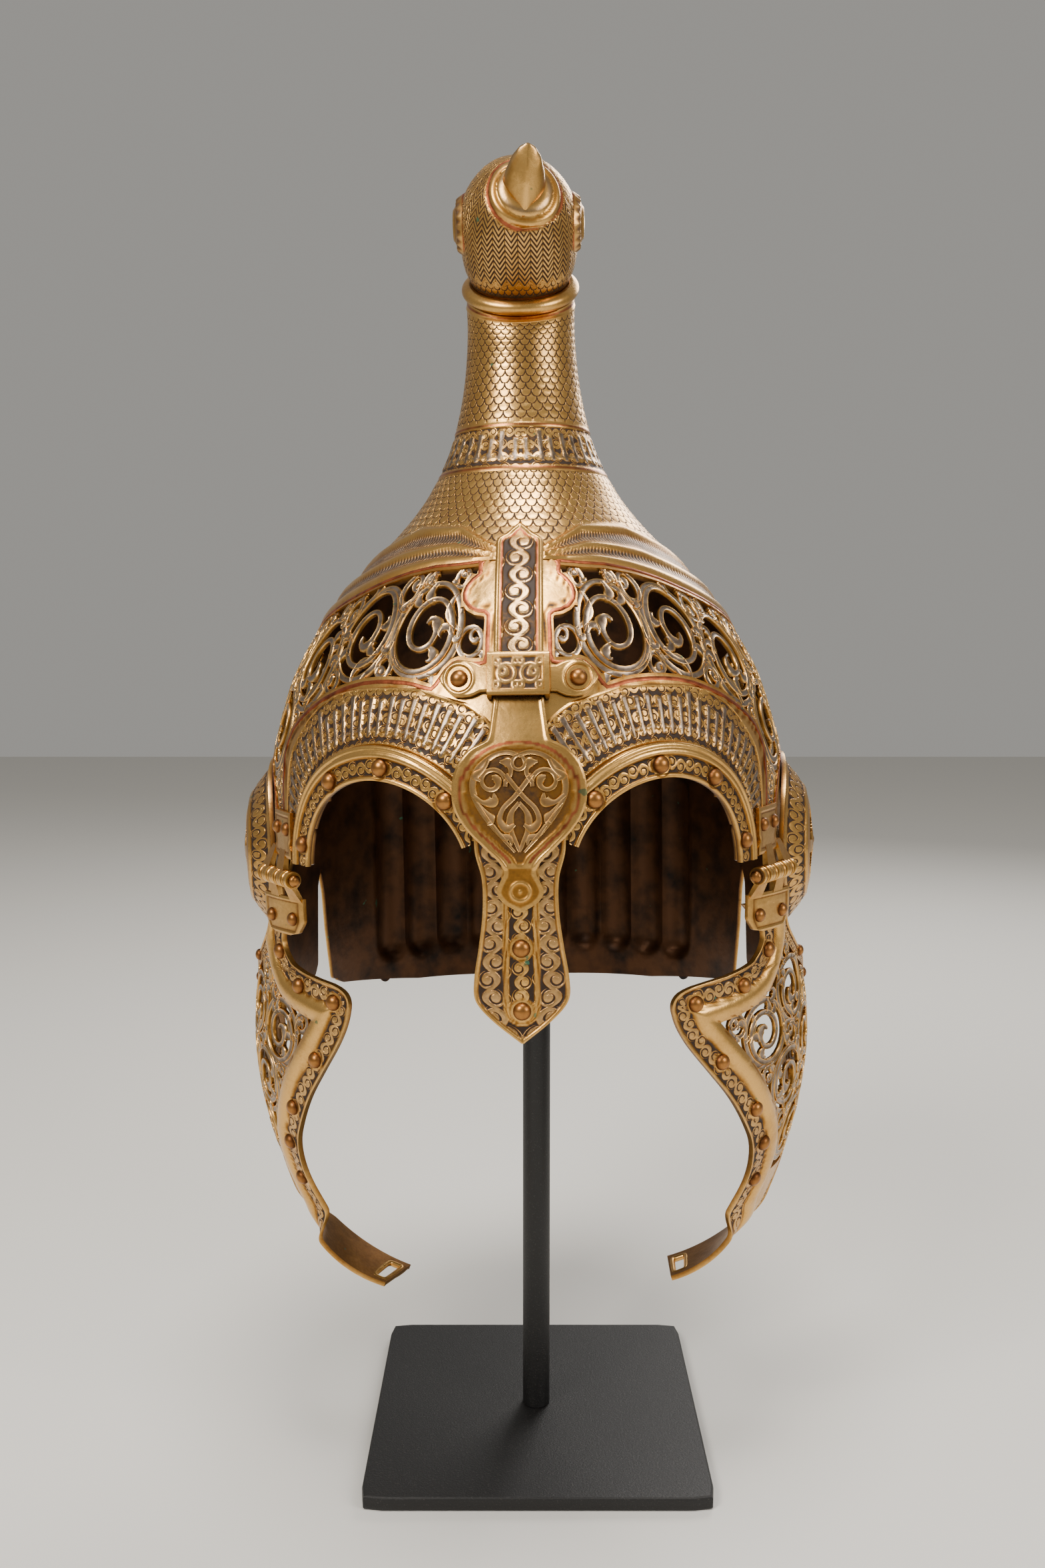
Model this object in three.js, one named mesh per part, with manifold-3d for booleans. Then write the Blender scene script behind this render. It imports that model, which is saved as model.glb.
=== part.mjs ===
// A pierced and inlaid brass helmet with a bird's head finial, hinged cheek-pieces and a sliding
// nasal, on a plain display stand. Millimetres, +Z up, the face of the helmet toward -Y.
// The origin is the centre of the underside of the stand's foot.
import * as THREE from "three";
import { mergeVertices } from "three/addons/utils/BufferGeometryUtils.js";
import Module from "manifold-3d";

const wasm = await Module();
wasm.setup();

// Stand
const footSide = 150;
const footThickness = 6;
const rodDiameter = 12.6;
const padThickness = 12;
// Height in the bowl at which the pad carries it, as a share of the bowl's rise
const padLevel = 0.83;
const helmetOffset = 6;
// The helmet sits a little askew: turned about the upright and leaning sideways, in degrees
const helmetTurn = -1.5;
const helmetLean = -0.8;

// Sheet metal, and the gap left between pieces that touch
const bowlWall = 2;
const plateWall = 1.6;
const cheekWall = 2;
const seatGap = 0.3;
const plateGap = 0.5;

// Bowl: heights are above the floor
const bowlBase = 319;
const bowlRise = 116;
const bowlHalfWidth = 112.5;
const bowlHalfLength = 121.5;
// One row per level from the base line to the neck joint, as shares of rise and half width
const bowlLevels = [
  { up: -0.25, half: 1 },
  { up: 0, half: 0.993 },
  { up: 0.095, half: 0.968 },
  { up: 0.198, half: 0.937 },
  { up: 0.293, half: 0.899 },
  { up: 0.397, half: 0.84 },
  { up: 0.5, half: 0.772 },
  { up: 0.595, half: 0.694 },
  { up: 0.698, half: 0.59 },
  { up: 0.802, half: 0.484 },
  { up: 0.905, half: 0.396 },
  { up: 1, half: 0.335 },
];

// Eye arches, angles in degrees from the front
const archCentre = 29;
const archHalfAngle = 19.7;
const archSpring = 276;
const archRise = 37;
const rimWidth = 12;

// Ear plates, notch and neck guard
const hingeGapAngle = 67.5;
const earPlateStart = 72;
const earPlateEnd = 109;
const earPlateBottom = 204;
const notchEnd = 114;
const notchTop = 255;
const neckGuardBottom = 183.5;
const neckGuardRise = 11;
const fluteCount = 10;
const fluteSpread = 94;
const fluteDepth = 4.5;
const fluteTop = 350;
const fluteTip = 199;

// Neck, collar and bird's head
const neckTilt = 35;
const collarHeight = 518;
const collarRadius = 23.7;
const collarWire = 3.2;
const headLength = 55;
const headRadius = 25;
const eyeBossRise = 3;
const eyeBossPlace = 0.5;
const beakLength = 32;
const beakHalfWidth = 7;
const beakAside = 5;

// Nasal plate, slide and keeper
const nasalTop = archSpring + 46;
const nasalTip = archSpring - 60.7;
const nasalHalfWidth = 17.3;
const slideTip = archSpring - 11;
const slideBarHalfWidth = 9.1;
const slideLowerHalfWidth = 10.4;
const slideDropHalfWidth = 23.7;
const slideTravel = 4;
const keeperAboveArch = 36.5;
const keeperHeight = archSpring + archRise + keeperAboveArch;
const slideTop = keeperHeight + 60.5;
const keeperTall = 14.6;
const keeperEarReach = 29;
const keeperEarTall = 12;
const keeperRivetReach = 21.8;

// Ear cups
const cupHeight = archSpring - 2.4;
const cupRadius = 40;
const cupBulge = 15;
const earHoleRadius = 17;
const cupGaps = 6;

// Hinges
const hingeBelowArch = 7.5;
const hingeHeight = archSpring - hingeBelowArch;
// Middle of the hinge leaf, as a turn from the front, and how far the axis stands off the bowl there
const leafMiddle = (archCentre + archHalfAngle + hingeGapAngle + 5.5) / 2;
const hingeOffSide = 4.25;
const hingeOffFront = -1.18;
const hingeTurn = 35;
const hingeLength = 30;
const barrelRadius = 3.75;
const pinRadius = 1.7;
const knuckles = 4;
const leafTall = 20;

// Cheek-pieces and straps
const cheekHalfWidth = 126.4;
const cheekHalfLength = 105;
const cheekCentre = 5;
const cheekDrop = 146;
// The left cheek-piece is beaten out a little wider, so it reaches less far forward
const cheekFrontReach = { right: 92.5, left: 86 };
const cheekRearReach = 27;
// One row per level: share of the drop, of the front and rear reach, and of the half width
const cheekLevels = [
  { down: 0.055, front: 0.8, rear: -1.95, half: 0.99 },
  { down: 0.15, front: 0.7, rear: -1.75, half: 0.985 },
  { down: 0.222, front: 0.745, rear: -1.3, half: 0.98 },
  { down: 0.247, front: 0.85, rear: -1.05, half: 0.98 },
  { down: 0.26, front: 0.95, rear: -0.9, half: 0.98 },
  { down: 0.285, front: 0.995, rear: -0.65, half: 0.98 },
  { down: 0.34, front: 1, rear: -0.2, half: 0.985 },
  { down: 0.42, front: 0.975, rear: 0.5, half: 0.995 },
  { down: 0.51, front: 0.92, rear: 0.92, half: 1 },
  { down: 0.6, front: 0.85, rear: 1, half: 0.995 },
  { down: 0.69, front: 0.78, rear: 0.8, half: 0.98 },
  { down: 0.79, front: 0.7, rear: 0.2, half: 0.955 },
  { down: 0.9, front: 0.61, rear: -0.5, half: 0.92 },
  { down: 1, front: 0.55, rear: -0.8, half: 0.885 },
];
const strapStartWidth = 27;
const strapEndWidth = 20;
const strapStartLean = 26;
// Each strap is bent its own way: its length, its lean at the end, and the turn of its width
// about the upright at both ends, in degrees
const strapLength = { right: 52, left: 56 };
const strapEndLean = { right: 74, left: 70 };
const strapStartTurn = { right: 32, left: 8 };
const strapEndTurn = { right: 0, left: -28 };
const strapSteps = 5;
const slotWidth = 5.2;
const slotLength = 13;

// Rivets
const rivetRadius = 3.3;
const rivetRise = 2.4;

const brassFinish = { color: "#b9893f", roughness: 0.34, metalness: 1 };
const darkBrassFinish = { color: "#7a5327", roughness: 0.42, metalness: 1 };
const blackFinish = { color: "#141312", roughness: 0.6, metalness: 0.3 };

const rad = THREE.MathUtils.degToRad;
const vec = (x, y, z) => new THREE.Vector3(x, y, z);
const rounded = (value, parts) => Math.round(value * parts) / parts;

// A closed solid from points and triangles; equal points are merged and flat triangles dropped
function solid(points, triangles) {
  const raw = new THREE.BufferGeometry();
  raw.setAttribute("position", new THREE.Float32BufferAttribute(points.flatMap((p) => p.toArray()), 3));
  raw.setIndex(triangles.flat());
  const merged = mergeVertices(raw, 1e-4);
  const index = Array.from(merged.index.array);
  const kept = [];
  for (let i = 0; i < index.length; i += 3) {
    const [a, b, c] = index.slice(i, i + 3);
    if (a !== b && b !== c && a !== c) kept.push(a, b, c);
  }
  merged.setIndex(kept);
  return toManifold(merged);
}

function toManifold(geometry) {
  const plain = geometry.clone();
  plain.deleteAttribute("normal");
  plain.deleteAttribute("uv");
  const merged = mergeVertices(plain, 1e-4);
  const faces = Array.from(merged.index.array);
  const position = merged.attributes.position.array;
  let volume = 0;
  for (let i = 0; i < faces.length; i += 3) {
    const [a, b, c] = faces.slice(i, i + 3).map((k) => vec(...position.slice(3 * k, 3 * k + 3)));
    volume += a.dot(b.cross(c));
  }
  if (volume < 0) faces.reverse();
  return new wasm.Manifold(new wasm.Mesh({
    numProp: 3,
    vertProperties: new Float32Array(position),
    triVerts: new Uint32Array(faces),
  }));
}

function toGeometry(body) {
  const mesh = body.getMesh();
  const geometry = new THREE.BufferGeometry();
  geometry.setAttribute("position", new THREE.BufferAttribute(new Float32Array(mesh.vertProperties), 3));
  geometry.setIndex(new THREE.BufferAttribute(new Uint32Array(mesh.triVerts), 1));
  return geometry;
}

const joined = (bodies) => bodies.reduce((whole, body) => whole.add(body));
const cut = (body, cutters) => cutters.reduce((rest, cutter) => rest.subtract(cutter), body);

// The mirror image across the plane x = 0
function mirrored(body) {
  const geometry = toGeometry(body);
  geometry.scale(-1, 1, 1);
  geometry.setIndex(Array.from(geometry.index.array).reverse());
  return toManifold(geometry);
}

// A closed sheet between two grids of points of equal size, [column][row].
// A round sheet joins its last column to its first.
function sheet(outer, inner, round = false) {
  const columns = outer.length;
  const rows = outer[0].length;
  const points = [...outer.flat(), ...inner.flat()];
  const at = (side, i, j) => side * columns * rows + (i % columns) * rows + j;
  const triangles = [];
  const quad = (a, b, c, d) => triangles.push([a, b, c], [a, c, d]);
  const spans = round ? columns : columns - 1;
  for (let i = 0; i < spans; i += 1) {
    for (let j = 0; j < rows - 1; j += 1) {
      quad(at(0, i, j), at(0, i + 1, j), at(0, i + 1, j + 1), at(0, i, j + 1));
      quad(at(1, i, j), at(1, i, j + 1), at(1, i + 1, j + 1), at(1, i + 1, j));
    }
    quad(at(1, i, 0), at(1, i + 1, 0), at(0, i + 1, 0), at(0, i, 0));
    quad(at(0, i, rows - 1), at(0, i + 1, rows - 1), at(1, i + 1, rows - 1), at(1, i, rows - 1));
  }
  if (!round) {
    for (let j = 0; j < rows - 1; j += 1) {
      quad(at(0, 0, j), at(0, 0, j + 1), at(1, 0, j + 1), at(1, 0, j));
      const last = columns - 1;
      quad(at(0, last, j), at(1, last, j), at(1, last, j + 1), at(0, last, j + 1));
    }
  }
  return solid(points, triangles);
}

// A sheet over a surface place(u, v, off), between two offsets from it
function plate(us, vs, place, low, high, round = false) {
  const grid = (off) => us.map((u) => vs.map((v) => place(u, v, off)));
  return sheet(grid(high), grid(low), round);
}

// A straight-sided cutter between two equal outlines
function prism(top, bottom) {
  const count = top.length;
  const triangles = [];
  for (let i = 0; i < count; i += 1) {
    const next = (i + 1) % count;
    triangles.push([i, next, count + next], [i, count + next, count + i]);
    if (i > 0 && i < count - 1) {
      triangles.push([0, next, i], [count, count + i, count + next]);
    }
  }
  return solid([...top, ...bottom], triangles);
}

// A smooth value between the rows of a table, read by one column and giving another
function between(table, key, value, at) {
  const last = table.length - 1;
  const rising = table[last][key] > table[0][key];
  let i = 0;
  while (i < last - 1 && (rising ? at > table[i + 1][key] : at < table[i + 1][key])) i += 1;
  const x = (n) => table[THREE.MathUtils.clamp(n, 0, last)][key];
  const y = (n) => table[THREE.MathUtils.clamp(n, 0, last)][value];
  const slope = (n) => (y(n + 1) - y(n - 1)) / (x(n + 1) - x(n - 1));
  const step = x(i + 1) - x(i);
  const s = THREE.MathUtils.clamp((at - x(i)) / step, 0, 1);
  const a = (2 * s ** 3 - 3 * s ** 2 + 1) * y(i) + (3 * s ** 2 - 2 * s ** 3) * y(i + 1);
  const b = (s ** 3 - 2 * s ** 2 + s) * step * slope(i) + (s ** 3 - s ** 2) * step * slope(i + 1);
  return a + b;
}

const range = (count) => Array.from({ length: count }, (_, i) => i);
const steps = (from, to, count) => range(count + 1).map((i) => from + ((to - from) * i) / count);

// Half width of the bowl at a height; it is round at the neck and longer than wide at the base
function bowlHalf(z) {
  const up = (z - bowlBase) / bowlRise;
  return bowlHalfWidth * between(bowlLevels, "up", "half", Math.max(up, bowlLevels[0].up));
}

function bowlLong(z) {
  const half = bowlHalf(z);
  const neckHalf = bowlHalfWidth * bowlLevels[bowlLevels.length - 1].half;
  const share = (half - neckHalf) / (bowlHalfWidth - neckHalf);
  return half * (1 + (bowlHalfLength / bowlHalfWidth - 1) * share);
}

const bowlSkin = (turn, z) =>
  vec(bowlHalf(z) * Math.sin(rad(turn)), -bowlLong(z) * Math.cos(rad(turn)), z);

function bowlNormal(turn, z) {
  const reach = 0.5;
  const across = bowlSkin(turn + reach, z).sub(bowlSkin(turn - reach, z));
  const upward = bowlSkin(turn, z + reach).sub(bowlSkin(turn, z - reach));
  return across.cross(upward).normalize();
}

const fluteStart = 180 - fluteSpread / 2;
const flutePitch = fluteSpread / fluteCount;

// Swelling of the tail-feather flutes round the back, with rounded tips above the plain band
function fluteSwell(turn, z) {
  const side = Math.abs(turn > 180 ? 360 - turn : turn);
  if (side < fluteStart) return 0;
  const lobe = Math.abs(Math.sin((Math.PI * (side - fluteStart)) / flutePitch));
  const fadeIn = THREE.MathUtils.smoothstep(fluteTop - z, 0, (fluteTop - fluteTip) / 2);
  const fadeOut = THREE.MathUtils.smoothstep(z, fluteTip, fluteTip + fluteDepth);
  return fluteDepth * lobe * fadeIn * fadeOut;
}

const onBowl = (turn, z, off) =>
  bowlSkin(turn, z).addScaledVector(bowlNormal(turn, z), off + fluteSwell(turn, z));

// A place on the front of the bowl by its distance from the middle line
const onFront = (x, z, off) =>
  onBowl(THREE.MathUtils.radToDeg(Math.asin(x / bowlHalf(z))), z, off);

// Distances in the sheet near a point of the bowl, as a turn and a height
function nearBowl(turn, z, across, upward) {
  const perTurn = bowlSkin(turn + 0.5, z).distanceTo(bowlSkin(turn - 0.5, z));
  const perHeight = bowlSkin(turn, z + 0.5).distanceTo(bowlSkin(turn, z - 0.5));
  return [turn + across / perTurn, z + upward / perHeight];
}

// Point of an eye arch grown outward by a margin; the angle runs from the outer foot to the nose
function archPoint(angle, margin) {
  const perTurn = rad(bowlHalfLength);
  return [
    archCentre + (archHalfAngle + margin / perTurn) * Math.cos(rad(angle)),
    archSpring + (archRise + margin) * Math.sin(rad(angle)),
  ];
}

// Lower edge of the bowl at a turn from the front
function lowerEdge(turn) {
  const side = turn > 180 ? 360 - turn : turn;
  const margin = 1;
  const reach = archHalfAngle + margin / rad(bowlHalfLength);
  const share = (side - archCentre) / reach;
  if (side < archCentre && share < -1) return archSpring + archRise * 0.4;
  if (Math.abs(share) < 1) {
    const arch = archSpring + (archRise + margin) * Math.sqrt(1 - share * share);
    return side < archCentre ? Math.max(arch, archSpring + archRise * 0.4) : arch;
  }
  const corners = [
    [hingeGapAngle, archSpring],
    [hingeGapAngle + 1.2, archSpring - (archSpring - earPlateBottom) * 0.7],
    [earPlateStart, earPlateBottom + 2],
    [earPlateStart + 4, earPlateBottom],
    [earPlateEnd - 1.5, earPlateBottom],
    [earPlateEnd, earPlateBottom + 5],
    [earPlateEnd + 1, notchTop - 8],
    [(earPlateEnd + notchEnd) / 2, notchTop],
    [notchEnd - 1, notchTop - 12],
    [notchEnd, neckGuardBottom + 40],
    [notchEnd + 2, neckGuardBottom + neckGuardRise + 4],
    [notchEnd + 6, neckGuardBottom + neckGuardRise],
    [notchEnd + 32, neckGuardBottom + neckGuardRise * 0.3],
    [180, neckGuardBottom],
  ];
  if (side <= corners[0][0]) return archSpring;
  for (let i = 1; i < corners.length; i += 1) {
    const [turnA, heightA] = corners[i - 1];
    const [turnB, heightB] = corners[i];
    if (side <= turnB) return heightA + ((heightB - heightA) * (side - turnA)) / (turnB - turnA);
  }
  return neckGuardBottom;
}

// Columns of the bowl, close together at the arches, the notches and the flutes
function bowlTurns() {
  const outerFoot = archCentre + archHalfAngle;
  const half = [
    0, 5, archCentre - archHalfAngle,
    ...[-0.8, -0.5, -0.17, 0.17, 0.5, 0.76, 0.92].map((s) => archCentre + archHalfAngle * s),
    outerFoot + 0.6, hingeGapAngle - 8, hingeGapAngle, hingeGapAngle + 1.2, earPlateStart, earPlateStart + 4,
    ...steps(84, earPlateEnd - 8, 2), earPlateEnd - 1.5, earPlateEnd, earPlateEnd + 1,
    (earPlateEnd + notchEnd) / 2, notchEnd - 1, notchEnd, notchEnd + 2, notchEnd + 6,
    fluteStart - 5,
    ...range(fluteCount / 2).flatMap((i) => [0, 0.5].map((s) => fluteStart + (i + s) * flutePitch)),
  ];
  return [...half, 180, ...half.slice(1).reverse().map((turn) => 360 - turn)];
}

// A scroll of the pierced work: wedge-shaped gaps round its heart, then its outline as a cutter
function scrollGaps(place, radius, count, low, high) {
  const barAngle = 18;
  return range(count).map((i) => {
    const middle = (360 * i) / count;
    const half = 180 / count - barAngle / 2;
    const outline = [
      [0.36, middle - half * 0.75], [0.94, middle - half], [0.94, middle + half],
      [0.36, middle + half * 0.75],
    ].map(([share, angle]) => [
      share * radius * Math.cos(rad(angle)),
      share * radius * Math.sin(rad(angle)),
    ]);
    return prism(outline.map((p) => place(...p, high)), outline.map((p) => place(...p, low)));
  });
}

function diamondGap(place, radius, low, high) {
  const outline = [[radius * 0.75, 0], [0, radius], [-radius * 0.75, 0], [0, -radius]];
  return prism(outline.map((p) => place(...p, high)), outline.map((p) => place(...p, low)));
}

// Scrolls of one side of the bowl: turn and height of the heart, and radius
const bowlScrolls = [
  { turn: 27, up: 0.45, radius: 15 },
  { turn: 46.5, up: 0.415, radius: 15 },
  { turn: 66, up: 0.32, radius: 16 },
  { turn: 85.5, up: 0.235, radius: 16.5 },
];
const scrollGapCount = 4;

function bowlCutters() {
  const cutters = [];
  const depth = [-bowlWall - 4, 4];
  for (const side of [1, -1]) {
    for (const { turn, up, radius } of bowlScrolls) {
      const place = (a, b, off) => {
        const [t, z] = nearBowl(turn, bowlBase + up * bowlRise, a, b);
        return onBowl(side * t, z, off);
      };
      cutters.push(...scrollGaps(place, radius, scrollGapCount, ...depth));
    }
    const ear = (a, b, off) => {
      const [t, z] = nearBowl(90, cupHeight, a, b);
      return onBowl(side * t, z, off);
    };
    const hole = steps(0, 315, 7).map((angle) => [
      earHoleRadius * Math.cos(rad(angle)), earHoleRadius * Math.sin(rad(angle)),
    ]);
    cutters.push(prism(hole.map((p) => ear(...p, depth[1])), hole.map((p) => ear(...p, depth[0]))));
  }
  return cutters;
}

function rivetHead(at, normal) {
  const profile = [[0, 0], [1, 0], [0.72, 0.72], [0, 1]]
    .map(([r, h]) => new THREE.Vector2(r * rivetRadius, h * rivetRise));
  const dome = new THREE.LatheGeometry(profile, 6);
  const turn = new THREE.Quaternion().setFromUnitVectors(vec(0, 1, 0), normal);
  dome.applyQuaternion(turn);
  dome.translate(at.x, at.y, at.z);
  return dropFlat(dome);
}

// A lathe's pole triangles are flat, so they go before the solid is made
function dropFlat(geometry) {
  geometry.deleteAttribute("normal");
  geometry.deleteAttribute("uv");
  const merged = mergeVertices(geometry, 1e-4);
  const position = merged.attributes.position;
  const points = range(position.count).map((i) => vec().fromBufferAttribute(position, i));
  const index = Array.from(merged.index.array);
  const triangles = range(index.length / 3).map((i) => index.slice(3 * i, 3 * i + 3));
  return solid(points, triangles.filter(([a, b, c]) => a !== b && b !== c && a !== c));
}

function buildBowl() {
  const turns = bowlTurns();
  const upper = [1, padLevel, 0.66, 0.48, 0.28, 0.06].map((up) => bowlBase + up * bowlRise);
  const lowerShares = [0.45, 0.86, 0.93, 1];
  const column = (turn, off) => [
    ...upper.map((z) => onBowl(turn, z, off)),
    ...lowerShares.map((share) => onBowl(turn, bowlBase + (lowerEdge(turn) - bowlBase) * share, off)),
  ];
  const body = sheet(turns.map((t) => column(t, 0)), turns.map((t) => column(t, -bowlWall)), true);
  const guardRivets = [136, 158, 180, 202, 224].map((turn) =>
    rivetHead(onBowl(turn, (neckGuardBottom + fluteTip) / 2, -bowlWall / 2), bowlNormal(turn, bowlBase)));
  return joined([cut(body, bowlCutters()), ...guardRivets]);
}

// Neck of the bird, one row per ring: share of the height to the collar, of the tilt, and radius.
// Its foot stands on the bowl's upper edge.
const neckJoint = bowlBase + bowlRise;
const neckOverBowl = 0.07;
const neckFootHalf = rounded(
  (bowlHalfWidth * bowlLevels[bowlLevels.length - 1].half + neckOverBowl) / collarRadius, 1000);
const neckLevels = [
  { up: 0, tilt: 0, back: 0, half: neckFootHalf },
  { up: 0.14, tilt: 0, back: 1, half: 1.37 },
  { up: 0.28, tilt: 0, back: 2, half: 1.224 },
  { up: 0.45, tilt: 0.05, back: 3, half: 1.097 },
  { up: 0.63, tilt: 0.2, back: 3, half: 1.018 },
  { up: 0.8, tilt: 0.5, back: 2, half: 0.986 },
];
const neckTopHalf = 1;
// Distance of the collar's flat faces from its middle, along the neck
const collarReach = collarWire * Math.sin(rad(60));

const tiltedRing = (turn, radius, tilt, back, z) => vec(
  radius * Math.sin(rad(turn)),
  back - radius * Math.cos(rad(turn)) * Math.cos(rad(tilt)),
  z - radius * Math.cos(rad(turn)) * Math.sin(rad(tilt)),
);

function buildNeck() {
  const turns = steps(0, 330, 11);
  const grid = (inset) => turns.map((turn) => [
    ...neckLevels.map((row, i) => {
      const height = neckJoint + (i === 0 ? seatGap : 0) + row.up * (collarHeight - neckJoint);
      return tiltedRing(turn, row.half * collarRadius - inset, row.tilt * neckTilt, row.back, height);
    }),
    aboveCollar(turn, neckTopHalf * collarRadius - inset, -collarReach - seatGap),
  ]);
  return sheet(grid(0), grid(bowlWall), true);
}

// Places along the axis that leaves the collar with the neck's tilt
function aboveCollar(turn, radius, along) {
  const ring = tiltedRing(turn, radius, neckTilt, 0, collarHeight);
  return ring.add(vec(0, -Math.sin(rad(neckTilt)), Math.cos(rad(neckTilt))).multiplyScalar(along));
}

function buildCollar() {
  const turns = steps(0, 337.5, 15);
  const section = steps(0, 300, 5);
  const outer = turns.map((turn) => section.map((angle) => aboveCollar(
    turn,
    collarRadius - collarWire * 0.4 + collarWire * Math.cos(rad(angle)),
    collarWire * Math.sin(rad(angle)),
  )));
  const triangles = [];
  const at = (i, j) => (i % turns.length) * section.length + (j % section.length);
  turns.forEach((_, i) => section.forEach((__, j) => {
    triangles.push([at(i, j), at(i + 1, j), at(i + 1, j + 1)], [at(i, j), at(i + 1, j + 1), at(i, j + 1)]);
  }));
  return solid(outer.flat(), triangles);
}

// A body of rings given as rows of points, closed at both ends by a point
function ringedBody(rings, start, end) {
  const sides = rings[0].length;
  const points = [...rings.flat(), start, end];
  const triangles = [];
  const at = (i, j) => i * sides + (j % sides);
  for (let j = 0; j < sides; j += 1) {
    triangles.push([points.length - 2, at(0, j + 1), at(0, j)]);
    triangles.push([points.length - 1, at(rings.length - 1, j), at(rings.length - 1, j + 1)]);
    for (let i = 0; i < rings.length - 1; i += 1) {
      triangles.push([at(i, j), at(i, j + 1), at(i + 1, j + 1)], [at(i, j), at(i + 1, j + 1), at(i + 1, j)]);
    }
  }
  return solid(points, triangles);
}

function buildHead() {
  const base = collarReach + seatGap;
  const rows = [
    [0, 0.84], [0.14, 0.95], [0.34, 1], [0.54, 1], [0.72, 0.88], [0.87, 0.64], [0.96, 0.36],
  ];
  const length = headLength - base;
  const turns = steps(0, 337.5, 15);
  const skull = ringedBody(
    rows.map(([along, half]) => turns.map((t) => aboveCollar(t, half * headRadius, base + along * length))),
    aboveCollar(0, 0, base),
    aboveCollar(0, 0, headLength),
  );
  const boss = (side) => {
    const rings = [[0.3, 1], [0.75, 0.75], [0.95, 0.4]].map(([out, size]) => steps(0, 315, 7).map((angle) => {
      const centre = aboveCollar(90 * side, headRadius - 4 + out * (eyeBossRise + 4), headLength * eyeBossPlace);
      return centre.add(vec(0, 9.5 * size * Math.cos(rad(angle)), 12 * size * Math.sin(rad(angle))));
    }));
    const tip = aboveCollar(90 * side, headRadius + eyeBossRise, headLength * eyeBossPlace);
    const root = aboveCollar(90 * side, headRadius - 6, headLength * eyeBossPlace);
    return ringedBody(rings, root, tip);
  };
  const beakRoot = aboveCollar(0, headRadius * 0.45, headLength * 0.62);
  const beakRings = [[0, 1.25], [0.3, 1.2], [0.55, 0.95], [0.75, 0.7], [0.9, 0.4]].map(([along, size]) =>
    steps(0, 315, 7).map((angle) => {
      const lean = rad(8 + 34 * along);
      const centre = beakRoot.clone().add(vec(
        beakAside * (0.4 + 0.6 * along),
        -beakLength * along * Math.cos(lean),
        beakLength * along * Math.sin(lean) + 2 * along,
      ));
      const half = beakHalfWidth * size;
      return centre.add(vec(half * Math.cos(rad(angle)), 0, half * 1.35 * Math.sin(rad(angle))));
    }));
  const tipLean = rad(48);
  const tip = beakRoot.clone().add(vec(
    beakAside,
    -beakLength * Math.cos(tipLean),
    beakLength * Math.sin(tipLean) + 2,
  ));
  const root = beakRoot.clone().add(vec(beakAside * 0.4, 0, 0));
  return joined([skull, boss(1), boss(-1), ringedBody(beakRings, root, tip)]);
}

// Plates on the front of the helmet: rows of height share and half width share
const nasalRows = [
  [0, 0.92], [0.16, 0.94], [0.32, 0.94], [0.42, 0.8], [0.535, 0.795], [0.655, 0.885],
  [0.78, 1], [0.85, 0.965], [0.915, 0.63], [0.995, 0.03],
];
const slideRest = plateGap + plateWall + seatGap;

function buildNasal() {
  const grid = (off) => [-1, -0.5, 0, 0.5, 1].map((side) => nasalRows.map(([down, half]) => {
    const z = nasalTop - down * (nasalTop - nasalTip);
    return onFront(side * half * nasalHalfWidth, z, off);
  }));
  return sheet(grid(plateGap + plateWall), grid(plateGap));
}

const keeperTopEdge = keeperHeight + keeperTall / 2;
const keeperBottomEdge = keeperHeight - keeperTall / 2;

// Outline of the slide from its pointed top to its finial: height and half width
function slideRows() {
  const dropTop = keeperBottomEdge - slideTravel - 10.5;
  const dropTall = dropTop - slideTip;
  const drop = [
    [0.02, 0.5], [0.07, 0.74], [0.16, 0.93], [0.28, 1], [0.4, 0.96], [0.52, 0.77], [0.62, 0.52],
    [0.7, 0.31], [0.76, 0.235], [0.82, 0.3], [0.88, 0.345], [0.94, 0.25], [0.995, 0.02],
  ];
  return [
    [slideTop, 0.4], [slideTop - 5, slideBarHalfWidth * 0.62], [slideTop - 8.5, slideBarHalfWidth],
    [slideTop - 20, slideBarHalfWidth], [slideTop - 32, slideBarHalfWidth],
    [keeperTopEdge + 1, slideBarHalfWidth], [keeperBottomEdge, slideBarHalfWidth],
    [keeperBottomEdge - slideTravel - 1, slideBarHalfWidth], [dropTop + 2, slideLowerHalfWidth],
    ...drop.map(([down, half]) => [dropTop - down * dropTall, half * slideDropHalfWidth]),
  ];
}

function buildSlide() {
  const lift = (z) => {
    const share = THREE.MathUtils.smoothstep(z, nasalTop + 2, keeperBottomEdge);
    return slideRest + (plateGap - slideRest) * share;
  };
  const grid = (thickness) => [-1, -0.5, 0, 0.5, 1].map((side) => slideRows().map(([z, half]) =>
    onFront(side * half, z, lift(z) + thickness)));
  return sheet(grid(bowlWall), grid(0));
}

function buildKeeper() {
  const inside = slideBarHalfWidth + seatGap + 0.2;
  const roof = plateGap + bowlWall + slideTravel * 0.65;
  const earTop = plateGap + plateWall;
  const columns = [
    { x: keeperEarReach, low: plateGap, high: earTop, tall: keeperEarTall * 0.5 },
    { x: keeperEarReach - 4, low: plateGap, high: earTop, tall: keeperEarTall },
    { x: inside + plateWall + 4, low: plateGap, high: earTop, tall: keeperEarTall },
    { x: inside + plateWall + 0.3, low: plateGap, high: earTop, tall: keeperEarTall * 0.8 },
    { x: inside + plateWall, low: plateGap, high: roof + plateWall, tall: keeperTall },
    { x: inside, low: roof, high: roof + plateWall, tall: keeperTall },
  ];
  const across = [...columns.map((c) => ({ ...c, x: -c.x })), ...[...columns].reverse()];
  const rows = [-0.5, 0, 0.5];
  const footed = (c, off) => rows.map((share) => onFront(c.x, keeperHeight + share * c.tall, off));
  return sheet(
    across.map((c) => footed(c, c.high)),
    across.map((c) => footed(c, c.low)),
  );
}

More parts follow.
